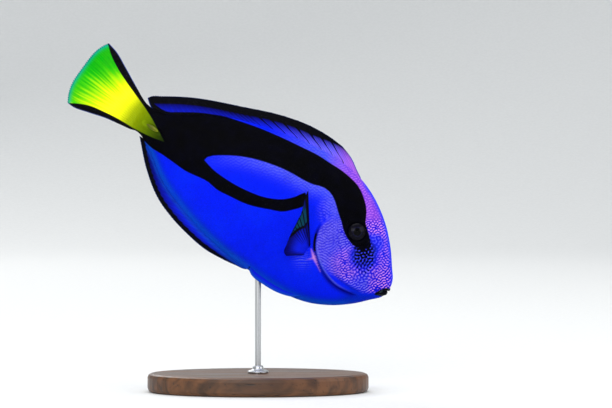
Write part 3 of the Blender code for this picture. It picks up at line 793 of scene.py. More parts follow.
# The lips are dark, with painted highlights as grey-teal specks.
lip_and_highlights = mottled(tree, "#03040f", "#3c5058", 0.0008, 0.52, 0.72, 1.0)
colour = blended(tree, ranged(tree, mark(tree, "band"), BAND_SOFT, -BAND_SOFT), blue, ink)
colour = blended(tree, ranged(tree, mark(tree, "wedge"), WEDGE_SOFT, -WEDGE_SOFT), colour, yellow)
colour = layered(tree, colour, ("lips", lip_and_highlights))
shade = ranged(tree, mark(tree, "tint_and_shade"), -1.0, 1.0, 0.83, 1.0)
shade = add(tree, "ShaderNodeCombineColor", {0: shade, 1: shade, 2: shade}).outputs["Color"]
colour = blended(tree, 1.0, colour, shade, "MULTIPLY")
dress(tree, shader, colour, noise(tree, 0.0012), 0.36, 0.52, noise(tree, 0.00025, 4.0), 0.00004)

# %% Put the skin over the flesh
# The bare skin is painted darker than its scales, as shade in the gaps between them, and lighter at the
# stump, painted light that evens it with the tail fin.
marks = {**skin_marks, "tint_and_shade": -0.6 + 1.4 * ease(0.98, 1.02, SKIN_X / MM)}
skin_piece = finished("skin", grid_mesh("skin", skin, marks), skin_finish, merge=4e-6)
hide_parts("head", "lower_jaw", "gill_cover_right", "gill_cover_left", "trunk", "tail_stalk")

# %% [markdown]
# ## Scales
#
# A tang's scales are tiny and rough, well under a millimetre, and overlap like roof tiles with their free
# ends towards the tail. Here each scale is a real shield of twelve triangles. Rings of scales go round the
# body, spaced by the distance along the skin, each ring half a scale out of step with the last. Instancing
# one scale on points would be less work, but an export keeps only solid mesh, and arrays make all of them
# in one go. They are smallest on the face and leave the lips, nostrils, eye socket, gill slit and spine
# slot bare.

# %% Read the skin anywhere between its points
def sampled(field, i, j):
    """A field of the skin's grid read between its points, from the four around each, wrapping across."""
    i = np.clip(i, 0, SKIN_ROWS - 1e-6)
    j = np.mod(j, SKIN_COLUMNS)
    a, b = np.floor(i).astype(int), np.minimum(np.floor(j).astype(int), SKIN_COLUMNS - 1)
    p, q = i - a, j - b
    if field.ndim == 3:
        p, q = p[..., None], q[..., None]
    low = field[a, b] * (1 - q) + field[a, b + 1] * q
    high = field[a + 1, b] * (1 - q) + field[a + 1, b + 1] * q
    return low * (1 - p) + high * p


# %% Set the scales out in rings
# The scales' spacing by how far along the skin they lie, both in mm, and how far one may stray, in spacings.
PITCH = ((0.0, 0.32), (8.0, 0.37), (30.0, 0.45), (52.0, 0.60), (95.0, 0.70), (140.0, 0.60), (175.0, 0.50))
STRAY, FINE_STEPS, FEWEST_IN_RING = 0.13, 4000, 6

run_mm = np.linalg.norm(skin_run, axis=-1) * 1000
turn_mm = np.linalg.norm(skin_turn, axis=-1) * 1000
down_body = np.concatenate([[0], np.cumsum(run_mm[:-1].mean(axis=1))])
fine = np.linspace(0, down_body[-1], FINE_STEPS)
ring_count = np.concatenate([[0], np.cumsum(np.diff(fine) / smooth(PITCH, fine[:-1]))])
ring_place = np.interp(np.arange(1.5, ring_count[-1] - 1, 1.0), ring_count, fine)
ring_row = np.interp(ring_place, down_body, np.arange(SKIN_ROWS + 1))
ring_step = np.gradient(ring_row)
ring_pitch = smooth(PITCH, ring_place)

rng = np.random.default_rng(11)
rows, columns, steps, pitches = [], [], [], []
for k, (row, step, pitch) in enumerate(zip(ring_row, ring_step, ring_pitch)):
    around = np.concatenate([[0], np.cumsum(sampled(turn_mm, row, np.arange(SKIN_COLUMNS) + 0.5))])
    count = max(int(round(around[-1] / pitch)), FEWEST_IN_RING)
    share = (np.arange(count) + 0.5 * (k % 2) + rng.uniform(-STRAY, STRAY, count)) % count
    columns.append(np.interp(share / count * around[-1], around, np.arange(SKIN_COLUMNS + 1)))
    rows.append(row + step * rng.uniform(-STRAY, STRAY, count))
    steps.append(np.full(count, step))
    pitches.append(np.full(count, around[-1] / count))
rows, columns, steps, pitches = (np.concatenate(part) for part in (rows, columns, steps, pitches))

# %% Leave the bare spots
# Bare skin about the gape, eye, nostrils, gill slit and spine slot, in mm, and how far back the lips reach.
BARE_LIPS, BARE_EYE, BARE_NOSTRIL, BARE_GILL, BARE_SLOT, LIPS_END = 2.6, 0.15, 0.25, 0.80, 1.5, 6.5

centre_x, centre_y = sampled(SKIN_X, rows, columns), sampled(SKIN_Y, rows, columns)
gape, _, taper = mouth_at(centre_x, centre_y)
bare_spot = (np.abs(gape + 0.5) < BARE_LIPS * taper) & (centre_x < LIPS_END)
bare_spot |= spot_distance(EYE, centre_x, centre_y) < EYE_RADIUS + BARE_EYE
for *spot, radius in NOSTRILS:
    bare_spot |= spot_distance(spot, centre_x, centre_y) < radius + BARE_NOSTRIL
gill, share = line_distance(GILL_EDGE, centre_x, centre_y)
bare_spot |= (np.abs(gill - 0.85) < BARE_GILL) & (share > 0.04) & (share < 0.97)
bare_spot |= gap_to(SPINE_GROOVE, centre_x, centre_y) < BARE_SLOT
scaled = (rows, columns, steps, pitches, centre_x)
rows, columns, steps, pitches, centre_x = (part[~bare_spot] for part in scaled)
print("rings of scales:", len(ring_row), "scales:", len(rows))

# %% Shape every scale at once
# A scale's seven rim points and its crown: tailward (in ring spacings), across (in scale widths), lift (mm).
SHIELD = np.array([
    (-0.60, -0.38, -0.045), (-0.60, 0.38, -0.045), (0.12, 0.62, 0.000), (0.58, 0.44, 0.020),
    (0.86, 0.00, 0.034), (0.58, -0.44, 0.020), (0.12, -0.62, 0.000), (0.16, 0.00, 0.036),
])
CORNERS = len(SHIELD)
TOP_FACES = [(k, (k + 1) % 7, 7) for k in range(7)]
UNDERSIDE = [(0, k + 1, k) for k in range(1, 6)]
SHIELD_FACES = np.array(TOP_FACES + UNDERSIDE)
# How much darker or lighter than the whole scale each of its corners is: painted shade at the roots, which
# lie under the scale in front, and a painted highlight towards the raised free end.
CORNER_LIGHT_AND_SHADE = np.array([-0.4, -0.4, 0.0, 0.1, 0.2, 0.1, 0.0, 0.1])

run_here = sampled(run_mm, rows, columns)
turn_here = sampled(turn_mm, rows, columns)
# No two scales are alike: each grows, twists, lifts and tints a little in its own way.
spacing = np.clip(steps * run_here, 0.25, 1.3)
size = np.clip(pitches / 0.65, 0.5, 1.2)
grow = rng.uniform(0.90, 1.12, len(rows))
twist = rng.normal(0, 0.09, len(rows))
back = SHIELD[:, 0] * (spacing * grow)[:, None]
across = SHIELD[:, 1] * (pitches * grow)[:, None]
back, across = back - across * twist[:, None], across + back * twist[:, None]
i = (rows[:, None] + back / run_here[:, None]).ravel()
j = (columns[:, None] + across / turn_here[:, None]).ravel()
lift = (SHIELD[:, 2] * (size * rng.uniform(0.75, 1.25, len(rows)))[:, None]).ravel()
points = sampled(skin, i, j) + sampled(skin_out, i, j) * lift[:, None] / 1000
scale_marks = markings(sampled(SKIN_X, i, j), sampled(SKIN_Y, i, j))
scale_marks["tint_and_shade"] = np.clip(rng.normal(0.2, 0.35, len(rows))[:, None] + CORNER_LIGHT_AND_SHADE, -1, 1).ravel()

# %% Join the scales in pieces
# Each scale keeps a patch of its own in the UV map, this wide. The spans are in mm behind the snout.
SCALE_PATCH = 0.003
SPANS = (("head", -1.0, 40.0), ("shoulder", 40.0, 72.0), ("flank", 72.0, 112.0), ("tail", 112.0, 175.0))
root_uv = np.stack([0.01 + 0.98 * rows / SKIN_ROWS, 0.01 + 0.98 * columns / SKIN_COLUMNS], axis=1)
right = columns > SKIN_COLUMNS / 2
root_patch = SCALE_PATCH * SHIELD[:, :2] * np.array([1.0, 0.85])
points = points.reshape(-1, CORNERS, 3)
for word, low, high in SPANS:
    for side_word, on_side in (("right", right), ("left", ~right)):
        here = on_side & (centre_x >= low) & (centre_x < high)
        name = f"scales_{word}_{side_word}"
        faces = (np.arange(here.sum())[:, None, None] * CORNERS + SHIELD_FACES).reshape(-1, 3)
        uv = (root_uv[here][:, None] + root_patch).reshape(-1, 2)[faces]
        values = {key: value.reshape(-1, CORNERS)[here] for key, value in scale_marks.items()}
        mesh = write_mesh(name, points[here].reshape(-1, 3), faces, uv, values, "OFBake")
        finished(name, mesh, skin_finish, merge=0)

# %% [markdown]
# ## Fins
#
# A fin is a thin membrane over rays. Spines are single and stiff, while soft rays split in two and in four
# towards the margin. Each fin here is one closed sheet: a patch stretched between its root, margin, front
# and rear edges, given thickness on both sides, with the rays standing out as real ridges. A flat plane
# with a picture of rays would look right only from the side. The patch is Coons's: two edges blended one
# way, plus two the other way, less the corners counted twice.

# %% Stretch a fin between its edges
def patch(root, margin, front, rear, lean=0.0):
    """A Coons patch over (u, v) between four lines of (station, height), u from front to rear and v out
    to the margin: the blend of front and rear, plus that of root and margin, minus that of the four
    corners. The rays' tips move back along the margin by up to the share lean, so the rays slope."""

    def spread(u, v):
        u, v = u[..., None], v[..., None]
        foot, tip = along(root, u[..., 0]), along(margin, (u + lean * np.sin(math.pi * u) ** 2)[..., 0])
        first, last = along(front, v[..., 0]), along(rear, v[..., 0])
        near, far = np.array(root, float), np.array(margin, float)
        foot_blend = (1 - u) * near[0] + u * near[-1]
        tip_blend = (1 - u) * far[0] + u * far[-1]
        flat = (1 - v) * foot + v * tip + (1 - u) * first + u * last - (1 - v) * foot_blend - v * tip_blend
        return flat[..., 0], flat[..., 1], 0 * flat[..., 0]

    return spread


# %% Raise the rays
def ray_ridges(number, v, fork, stiff=0):
    """How near a point is to a ray, from 0 to 1. A ray stands at each whole number. From the share fork
    of its length it splits in two, then in four: the gap to the nearest branch is ||phase| - s| - t|. The
    first few, the stiff spines, stay single and are thinner."""
    phase = np.abs(number - np.round(number))
    soft = number > stiff - 0.5
    s = 0.25 * soft * ease(fork, 1.1, v)
    t = 0.125 * soft * ease(fork + 0.3, 1.25, v)
    width = np.where(soft, 0.15 - 0.07 * ease(fork, 1.0, v), 0.08)
    return hump(np.abs(np.abs(phase - s) - t), width)


# %% Close the fin on both sides
# How deep the margin's scallops are and how far its rims taper, as shares of the fin's height, and how far
# the front and rear rims taper, in gaps between rays.
SCALLOP, RIM, END_RIM = 0.012, 0.02, 0.25


def doubled(front, back):
    """The grid of a fin's one face, followed by that of its other face back to the root."""
    return np.concatenate([front, back[:, ::-1][:, 1:]], axis=1)


def fin(
    name, node, spread, rays, fork, thick, finish, marks, columns, rows=36, wave=0.25, stiff=0
):
    """A closed fin: spread(u, v) gives its middle in (station, height, side), and each face lies off it
    along the normal by half the thickness, thick = (root, margin) in mm. The pairs in rays give the ray's
    number along u. The membrane is scalloped between the rays and ripples by wave mm, and its rims run
    out to nothing."""
    u, v = shares(columns, rows)
    number = np.interp(u, *zip(*rays))
    ridge = ray_ridges(number, v, fork, stiff)
    reach = v * (1 - SCALLOP * (1 - ray_ridges(number, 0 * v + 1, fork, stiff)))
    station, height, side = spread(u, reach)
    side = side + wave / 1000 * v**1.5 * np.sin(2 * math.pi * (1.7 * u + 0.4 * v) + 0.8)
    middle = placed(station, height, side)
    normal = unit(np.cross(np.gradient(middle, axis=0), np.gradient(middle, axis=1)))
    half = thick[1] / 2 + (thick[0] - thick[1]) / 2 * (1 - v) ** 1.6
    half = half * (0.55 + 0.45 * ridge) + 0.05 * ridge * (1 - 0.5 * v)
    ends = np.minimum(number, number.max() - number) / END_RIM
    rims = np.clip(v / RIM, 0, 1) * np.clip((1 - v) / RIM, 0, 1) * np.clip(ends, 0, 1)
    off = normal * (half * np.sqrt(rims) / 1000)[..., None]
    values = {"ray": ridge, **marks(u, v, station * MM, height * MM, number, ridge)}
    values = {key: doubled(value, value) for key, value in values.items()}
    piece = finished(name, grid_mesh(name, doubled(middle + off, middle - off), values), finish)
    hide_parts(node)


# %% [markdown]
# ## The fins' finish
#
# The membrane is thin skin with pigment, a little glossier than the scaled flank. The tang's fins are deep
# blue with a black margin and a hair-thin pale edge, and the fore part of the back fin has a painted violet
# sheen.
# The rays are bony rods, jointed like bamboo every millimetre or so. The joints are too fine to model, so
# they are a bump of bands across the rays, in the fin's own UV map.

# %% Joint and wrinkle the membrane
def ray_joints(tree, count):
    """Bands across the rays, this many from root to margin and back, from the fin's UV map. A wave texture
    has about pi bands to a unit at scale 1."""
    place = add(tree, "ShaderNodeUVMap", uv_map="grain").outputs["UV"]
    sockets = {"Vector": place, "Scale": count / math.pi, "Distortion": 1.5, "Detail": 2.0}
    return add(tree, "ShaderNodeTexWave", sockets, bands_direction="Y").outputs["Fac"]


def fin_surface(tree, shader, colour, inked, pale):
    """What both fin materials share: black where inked, a pale edge, darker between the rays, and a bump
    of joints and fine wrinkles."""
    colour = layered(tree, blended(tree, inked, colour, "#010106"), ("pale", pale))
    between = ranged(tree, mark(tree, "ray"), 0.0, 0.8, 0.14, 0.0)
    colour = blended(tree, between, colour, "#01010a")
    height = add(tree, "ShaderNodeMath", {0: ray_joints(tree, 44), 1: noise(tree, 0.0004)}, operation="ADD")
    dress(tree, shader, colour, noise(tree, 0.001), 0.34, 0.52, height.outputs[0], 0.00004)


# %% Colour the two membranes
fin_settings = {"IOR": 1.38, "Specular_IOR_Level": 0.06}
dark_fin, tree, shader = new_material("wet_blue_fin_membrane", **fin_settings)
# The back fin's fore part has a painted violet sheen, the side fin's blue-green patch is painted as its lit
# part, and the fins' brighter blue by the belly is painted rim light.
colour = layered(
    tree, "#01015c", ("glow", "#0c22f4"), ("lavender", "#7a70f6"), ("blush", "#b468ea"), ("teal", "#04404e"),
    ("keel", "#0640b8"),
)
colour = mottled(tree, colour, "#02037c", 0.003, 0.45, 0.75, 0.25)
fin_surface(tree, shader, colour, ranged(tree, mark(tree, "black"), FIN_SOFT, -FIN_SOFT), "#3e62dc")

yellow_fin, tree, shader = new_material("wet_yellow_fin_membrane", **fin_settings)
colour = mottled(tree, ramp(tree, "ripe", YELLOW_STOPS), "#b8b80a", 0.004, 0.4, 0.7, 0.03)
colour = layered(tree, colour, ("cyan", "#1098a0"))
fin_surface(tree, shader, colour, ranged(tree, mark(tree, "wedge"), -FIN_SOFT, FIN_SOFT), "#5a6cc0")

# %% [markdown]
# ## Back fin, anal fin and tail fin
#
# The back fin has nine thin spines and then twenty soft rays, and the anal fin three and nineteen. Both are
# long and low. Their roots follow the body's own lines a little inside the flesh, so that no gap can show.
# The tail fin is a fan with a slightly rounded rim. Sculpted planes would do too, but outlines of a few
# points are easy to match to a photograph, and the rays then follow from their number.

# %% Outline the back fin and the anal fin
DORSAL_MARGIN = (
    (0.400, 0.2935), (0.455, 0.2965), (0.530, 0.291), (0.620, 0.270), (0.760, 0.2165), (0.925, 0.1445),
    (1.008, 0.0945), (1.037, 0.075), (1.045, 0.063),
)
DORSAL_FRONT = ((0.262, 0.212), (0.285, 0.236), (0.313, 0.253), (0.347, 0.2745), (0.400, 0.2935))
DORSAL_REAR = ((0.998, 0.034), (1.028, 0.0495), (1.045, 0.063))
ANAL_MARGIN = (
    (0.520, -0.2515), (0.590, -0.257), (0.670, -0.248), (0.750, -0.230), (0.820, -0.204), (0.912, -0.141),
    (0.980, -0.076), (0.996, -0.060),
)
ANAL_FRONT = ((0.428, -0.222), (0.440, -0.2355), (0.478, -0.2445), (0.520, -0.2515))


def buried(line, low, high, depth):
    """The root of a fin: 14 points along part of a body line, moved this far into the body."""
    stations = np.linspace(low, high, 14)
    return tuple(zip(stations, body_line(line, stations) + depth))


# %% Mark the back fin and the anal fin
FIN_MARKS = ("black", "pale", "lavender", "blush", "glow", "teal", "keel")


def fin_values(u, **values):
    """Every mark of a dark fin, nothing where it isn't given."""
    return {name: values.get(name, 0) + 0 * u for name in FIN_MARKS}


def dorsal_marks(u, v, x, y, number, ridge):
    """A black margin that starts thin, a dark streak down behind each spine, and a painted sheen of pale
    violet before blue.
    """
    edge = gap_to((*DORSAL_FRONT, *DORSAL_MARGIN[1:]), x, y, 120)
    width = 0.4 + 3.8 * ease(0.36 * MM, 0.53 * MM, x)
    behind_spine = hump(number - np.round(number) - 0.06, 0.075) * (number > 1.5) * ease(15, 10, number)
    rear = gap_to(DORSAL_REAR, x, y, 20)
    inside = np.clip((edge - width) / 4.5, 0, 1)
    fine = 0.5 + 0.5 * np.cos(6 * math.pi * number)
    on_band = np.minimum(rear - 0.9, outline_distance(BAND, x, y))
    return fin_values(
        u,
        black=np.minimum(edge - width - 6.5 * behind_spine, on_band),
        # A pale edge along the margin, and a painted highlight along the fin's rear edge.
        pale=0.8 * hump(edge, 0.25) * (0.25 + ease(0.46 * MM, 0.36 * MM, x)) + 0.5 * hump(rear, 0.30),
        # The fore part's pale violet and violet are painted sheen.
        lavender=ease(0.66 * MM, 0.40 * MM, x) * (0.1 + 0.9 * inside) * (0.55 + 0.45 * fine),
        blush=ease(0.43 * MM, 0.33 * MM, x) * (0.65 + 0.35 * fine),
        glow=inside * (0.60 + 0.40 * ease(0.88 * MM, 0.55 * MM, x)),
    )


def anal_marks(u, v, x, y, number, ridge):
    """A black margin with a thin pale edge, on blue that darkens to the rear, with a painted rim light along
    the base by the belly.
    """
    edge = gap_to((*ANAL_FRONT, *ANAL_MARGIN[1:]), x, y, 120)
    below = MM * body_line(BELLY_LINE, x / MM) - y
    return fin_values(
        u,
        black=edge - 0.2 - 2.1 * ease(0.45 * MM, 0.60 * MM, x) - 0.6 * ridge * v,
        pale=0.45 * hump(edge, 0.22),
        glow=0.9 * np.clip((edge - 1) / 4.0, 0, 1) * ease(1.00 * MM, 0.62 * MM, x),
        # A painted rim light along the base, by the belly's edge.
        keel=0.8 * hump(below - 0.4, 1.1),
    )


# %% Build the back fin and the anal fin
dorsal_root = (DORSAL_FRONT[0], *buried(BACK_LINE, 0.300, 0.960, -0.013), DORSAL_REAR[0])
fin(
    "back_fin", "dorsal_fin", patch(dorsal_root, DORSAL_MARGIN, DORSAL_FRONT, DORSAL_REAR, 0.07),
    ((0, 0), (0.50, 9), (1, 29)), 0.55, (0.80, 0.22), dark_fin, dorsal_marks,
    columns=420, rows=40, stiff=9,
)
anal_root = (ANAL_FRONT[0], *buried(BELLY_LINE, 0.436, 0.946, 0.013)[1:])
anal_rear = (anal_root[-1], (0.965, -0.060), ANAL_MARGIN[-1])
fin(
    "anal_fin_rayed", "anal_fin", patch(anal_root, ANAL_MARGIN, ANAL_FRONT, anal_rear, 0.05),
    ((0, 0), (0.16, 3), (1, 22)), 0.55, (0.80, 0.22), dark_fin, anal_marks,
    columns=300, stiff=3,
)

# %% Tail fin
TAIL_UPPER = (
    (1.004, 0.034), (1.024, 0.041), (1.046, 0.0485), (1.106, 0.0775), (1.166, 0.108), (1.227, 0.1365),
    (1.264, 0.1455),
)
TAIL_LOWER = (
    (1.004, -0.046), (1.032, -0.0575), (1.064, -0.063), (1.129, -0.0745), (1.187, -0.0905),
    (1.251, -0.1045), (1.270, -0.103),
)
TAIL_ROOT = (TAIL_UPPER[0], TAIL_LOWER[0])
share = np.linspace(0, 1, 15)
bulge = 0.028 * (1 - np.abs(2 * share - 1) ** 3)
chord_x, chord_y = (part_way(ends, share) for ends in zip(TAIL_UPPER[-1], TAIL_LOWER[-1]))
TAIL_MARGIN = tuple(zip(chord_x + bulge, chord_y))


def tail_marks(u, v, x, y, number, ridge):
    """The yellow runs into the green as streaks along the rays, and the rim is cyan."""
    outer = np.minimum(gap_to(TAIL_UPPER, x, y), gap_to(TAIL_LOWER, x, y))
    rim = gap_to(TAIL_MARGIN, x, y)
    # Painted shade: the yellow darkens towards the root, as the stalk is shaded.
    root_shade = 0.03 * ease(1.10 * MM, 1.01 * MM, x)
    strands = np.random.default_rng(5).uniform(-1, 1, 60)
    streak = np.interp(3 * number, np.arange(60), strands) * span(v, 0.30, 0.55, 0.86, 1.0)
    return {
        "wedge": outline_distance(YELLOW, x, y),
        "ripe": np.clip(ripeness(x, y) - 0.085 * streak * ease(0.1, 0.4, u) - root_shade, 0, 1),
        "cyan": 0.95 * hump(rim, 1.5),
        "pale": 0.8 * hump(outer, 0.25) * ease(0.25, 0.5, v),
        "ray": np.maximum(ridge, 1 - 0.7 * ease(0.35, 0.7, v)),
    }


fin(
    "tail_fin", "caudal_fin", patch(TAIL_ROOT, TAIL_MARGIN, TAIL_UPPER, TAIL_LOWER), ((0, 0), (1, 17)),
    0.25, (0.85, 0.20), yellow_fin, tail_marks, columns=272, rows=44, wave=0.5,
)

# %% [markdown]
# ## Side fins and belly fins
#
# The tang rows with its pectoral fins, so each is a fan of rays from a short fleshy root, held away from
# the flank. Its outline is a length for each ray, turned through an angle. The pelvic fins are slim and lie
# folded beside the keel. In the photograph the side fin shows a teal patch within black, and navy below.

# %% Shape the side fins
# A side fin's root from front to rear, then by ray the angles, the lengths and how far the tips lift off the
# flank, as shares of LENGTH.
PECTORAL_ROOT = ((0.301, -0.052), (0.303, -0.083))
PECTORAL_ANGLES = (math.radians(54.5), math.radians(-36))
PECTORAL_LENGTHS = (
    (0.0, 0.197), (0.04, 0.173), (0.10, 0.134), (0.20, 0.109), (0.30, 0.095), (0.45, 0.083), (0.70, 0.073),
    (0.93, 0.070), (1.0, 0.062),
)
PECTORAL_LIFT = (0.104, 0.030)
# Where the black line that crosses the fin cuts each ray, as a share of its length. The line is a painted
# shadow that parts the fin's lit part from its shaded part.
PECTORAL_SHADOW_LINE = (
    (0.0, 0.50), (0.04, 0.52), (0.10, 0.60), (0.20, 0.72), (0.30, 0.83), (0.40, 0.90), (1.0, 1.6),
)
# How deep the root lies in the flesh, in metres.
PECTORAL_DIP = 0.0009


def pectoral_spread(hand):
    """Each ray runs out from the root at its own angle and length, and lifts off the flank. The root dips
    into the flesh."""

    def spread(u, v):
        root = [part_way(ends, u) for ends in zip(*PECTORAL_ROOT)]
        angle = part_way(PECTORAL_ANGLES, u)
        length = smooth(PECTORAL_LENGTHS, u) * v
        lift = LENGTH * part_way(PECTORAL_LIFT, u) * v
        dip = PECTORAL_DIP * (1 - ease(0.0, 0.16, v))
        station, height = root[0] + length * np.cos(angle), root[1] + length * np.sin(angle)
        return station, height, hand * (half_width(*root) + lift - dip)

    return spread


def pectoral_marks(u, v, x, y, number, ridge):
    """Black along the leading edge and margin. A slanting black line, a painted shadow, parts a blue-green
    patch, painted as the fin's lit part, from navy rays.
    """
    length = smooth(PECTORAL_LENGTHS, u) * MM
    edge, leading = (1 - v) * length, u * (4.5 + 38.0 * v)
    line = smooth(PECTORAL_SHADOW_LINE, u)
    beyond = span(v, line, line + 0.06, 0.95, 0.99) * span(u, 0.02, 0.05, 0.40, 0.50)
    streak = hump(number - np.floor(number) - 0.5, 0.20) * ease(0.70, 0.30, u) * ease(0.15, 0.4, v)
    black = np.minimum(leading - 0.7 - 0.8 * ease(0.42, 0.58, v), edge - 0.4 + ease(0.30, 0.60, u))
    # A black line of painted shadow crosses the fin.
    black = np.minimum(black, np.abs(v - line) * length - 0.7)
    return fin_values(
        u,
        black=np.minimum(black, 1.2 * (0.62 - streak)),
        glow=0.9 * ease(0.98, 0.35, v) * span(u, 0.05, 0.3, 0.7, 1.0),
        # The blue-green patch beyond the shadow line is painted as the fin's lit part.
        teal=beyond * (1 - ease(0.78, 0.86, v) * ease(0.09, 0.05, u)),
    )


# %% Shape the belly fins
# Where a fin's root and tip lie, how far out from the middle and how tall it is in metres, and its lean.
PELVIC_STATIONS, PELVIC_OUT, PELVIC_TALL, PELVIC_LEAN = (0.235, 0.438), 0.0034, 0.0048, math.radians(-20)
# How far a folded belly fin's lower edge hangs below the belly line, in mm, by its share from root to tip.
PELVIC_DROP = (
    (0.0, -2.5), (0.12, -0.5), (0.26, 0.5), (0.42, 1.15), (0.68, 1.4), (0.88, 0.9), (1.0, -1.2),
)


def pelvic_spread(hand):
    """A low plate folded against the keel: its lower edge hangs below the belly line and its upper edge
    leans in under the skin, u up the plate and v from root to tip."""

    def spread(u, v):
        station = part_way(PELVIC_STATIONS, v)
        low = body_line(BELLY_LINE, station) * LENGTH - smooth(PELVIC_DROP, v) / 1000
        out = PELVIC_OUT + PELVIC_TALL * u * math.sin(PELVIC_LEAN)
        return station, (low + PELVIC_TALL * u * math.cos(PELVIC_LEAN)) / LENGTH, hand * out

    return spread


def pelvic_marks(u, v, x, y, number, ridge):
    """Blue like the belly, with a painted rim light along the lower edge."""
    return fin_values(u, black=(1 - v) * 30 - 0.5, glow=0.7, keel=ease(0.45, 0.1, u))


# %% Build both pairs
HANDS = ((-1, "right"), (1, "left"))
for hand, word in HANDS:
    fin(
        f"side_fin_{word}", f"pectoral_fin_{word}", pectoral_spread(hand), ((0, 0), (1, 15)), 0.45,
        (0.75, 0.20), dark_fin, pectoral_marks, columns=180, rows=34, wave=0.3,
    )
    fin(
        f"belly_fin_{word}", f"pelvic_fin_{word}", pelvic_spread(hand), ((0, 0), (1, 5)), 0.5, (0.80, 0.35),
        dark_fin, pelvic_marks, columns=60, rows=40, wave=0.1,
    )

# %% [markdown]
# ## Eyes
#
# The tang's eye lies in its black band and looks almost black, but close up there is a dark indigo iris
# with a thin paler rim round the pupil, under a clear wet cornea. The ball is flattened and the cornea
# bulges in the middle. A shell of glass over a second ball would be closest, but one ball with a thin clear
# coat gives the same soft highlight and survives an export. The IOR of a cornea is 1.376.

# %% Eyes in their sockets
# The ball's half depth, how far it stands out of the flank and the cornea's bulge, in metres. It tilts
# forward and up by these slopes.
EYE_DEPTH, EYE_PROUD, CORNEA_BULGE = 0.0034, 0.0011, 0.00030
EYE_TILT = (0.20, 0.16)
EYE_STOPS = (
    (0.00, "#010102"), (0.385, "#010102"), (0.41, "#16163a"), (0.45, "#08071a"), (0.60, "#05040f"),
    (0.80, "#04030c"), (1.00, "#020206"),
)

eye_finish, tree, shader = new_material(
    "wet_dark_eye", IOR=1.376, Specular_IOR_Level=0.06, Roughness=0.2, Coat_Weight=0.07, Coat_Roughness=0.03
)
iris = mottled(tree, ramp(tree, "off_axis", EYE_STOPS), "#020106", 0.0004, 0.45, 0.7, 0.5)
tree.links.new(iris, shader.inputs["Base Color"])


def eyeball(hand):
    """A ball flattened front to back, whose front swells by a bell of 0.3 mm about the pupil: the axis is
    u = 0 and v runs round it. It tips forward and up with the cheek."""
    station, height = EYE
    base = half_width(station, height) + EYE_PROUD - EYE_DEPTH

    def formula(u, v):
        polar, around = math.pi * u, 2 * math.pi * v
        x = EYE_RADIUS / 1000 * np.sin(polar) * np.cos(around)
        z = EYE_RADIUS / 1000 * np.sin(polar) * np.sin(around)
        y = EYE_DEPTH * np.cos(polar) + CORNEA_BULGE * hump(np.hypot(x, z), 0.0028) * (u < 0.5)
        y = y - EYE_TILT[0] * x - EYE_TILT[1] * z
        return placed(station - x / LENGTH, height + z / LENGTH, hand * (base + y))

    return formula


def eye_marks(u, v):
    """How far a place is off the eye's axis, as a share of its radius, and 1 all over the back."""
    return {"off_axis": np.where(u < 0.5, np.sin(math.pi * u), 1.0)}


for hand, word in HANDS:
    piece = surface(f"eyeball_{word}", eyeball(hand), 72, 72, eye_finish, eye_marks)
    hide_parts(f"eye_{word}")

# %% [markdown]
# ## Tail spines
#
# A surgeonfish folds a blade on each side of its tail stalk into a slot, with the point forward. The tang's
# lies in the yellow patch and is a pale horn yellow under a thin sheath of skin. The blade is a spindle
# with a keel: its section is round with the outer side pulled to an edge.

# %% Blades on the tail stalk
# The blade's two ends and its height, how far its axis stands out of the flank, and its radius in metres.
SPINE_STATIONS, SPINE_HEIGHT, SPINE_PROUD, SPINE_RADIUS = (0.945, 0.993), -0.012, 0.0009, 0.0011

spine_finish, tree, shader = new_material("horn_yellow_spine", IOR=1.54, Specular_IOR_Level=0.12)
colour = layered(tree, "#4a5204", ("from_root", "#70780a"))
colour = mottled(tree, colour, "#3e4406", 0.0008, 0.4, 0.7, 0.4)
dress(tree, shader, colour, noise(tree, 0.0006), 0.28, 0.42, noise(tree, 0.0003), 0.00002)


def spine_blade(hand):
    """A spindle along u from its point to its root, v round it: the radius is a sine of u, and the
    section is narrowed above and below by the third wave of v, which leaves a keel outwards."""

    def formula(u, v):
        station, angle = part_way(SPINE_STATIONS, u), 2 * math.pi * v
        radius = SPINE_RADIUS * np.sin(math.pi * np.clip(0.02 + 0.96 * u, 0, 1) ** 0.85) ** 0.8
        radius = np.where((u == 0) | (u == 1), 0, radius)
        keel = 1 + 0.16 * np.cos(3 * angle)
        skin_here = half_width(station, SPINE_HEIGHT) + SPINE_PROUD
        height = SPINE_HEIGHT + 0.9 * radius * keel * np.sin(angle) / LENGTH
        return placed(station, height, hand * (skin_here + 0.6 * radius * keel * np.cos(angle)))

    return formula


def spine_marks(u, v):
    """How far a place is from the blade's root, as a share of its length."""
    return {"from_root": 1 - u}


for hand, word in HANDS:
    piece = surface(
        f"spine_blade_{word}", spine_blade(hand), 48, 36, spine_finish, spine_marks
    )
    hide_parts(f"tail_spine_{word}")

# %% [markdown]
# ## Stand
#
# The base is black walnut, turned to an oval and oiled, and the rod is stainless steel, brushed lengthways.
# Their solids already have the right shape, so they only get finishes. Walnut's grain lines run along the
# board about a millimetre apart and its pores are short dark scratches. A small turned collar hides the
# hole where the rod enters the wood, as a maker would fit.

# %% Finish the stand
walnut, tree, shader = new_material("oiled_black_walnut", IOR=1.5, Specular_IOR_Level=0.4, Coat_Weight=0.08)
growth = noise(tree, 0.0022, 5.0, (14, 1, 3), Distortion=0.6)
pores = ranged(tree, noise(tree, 0.0003, 5.0, (22, 1, 2)), 0.60, 0.72)
clouds = ranged(tree, noise(tree, 0.012, 5.0, (5, 1, 1)), 0.4, 0.7, 0.0, 0.5)
wood = blended(tree, ranged(tree, growth, 0.35, 0.65), "#36210f", "#6d4526")
wood = blended(tree, pores, blended(tree, clouds, wood, "#4a2a17"), "#170c06")
dress(tree, shader, wood, growth, 0.34, 0.50, pores, -0.00006)

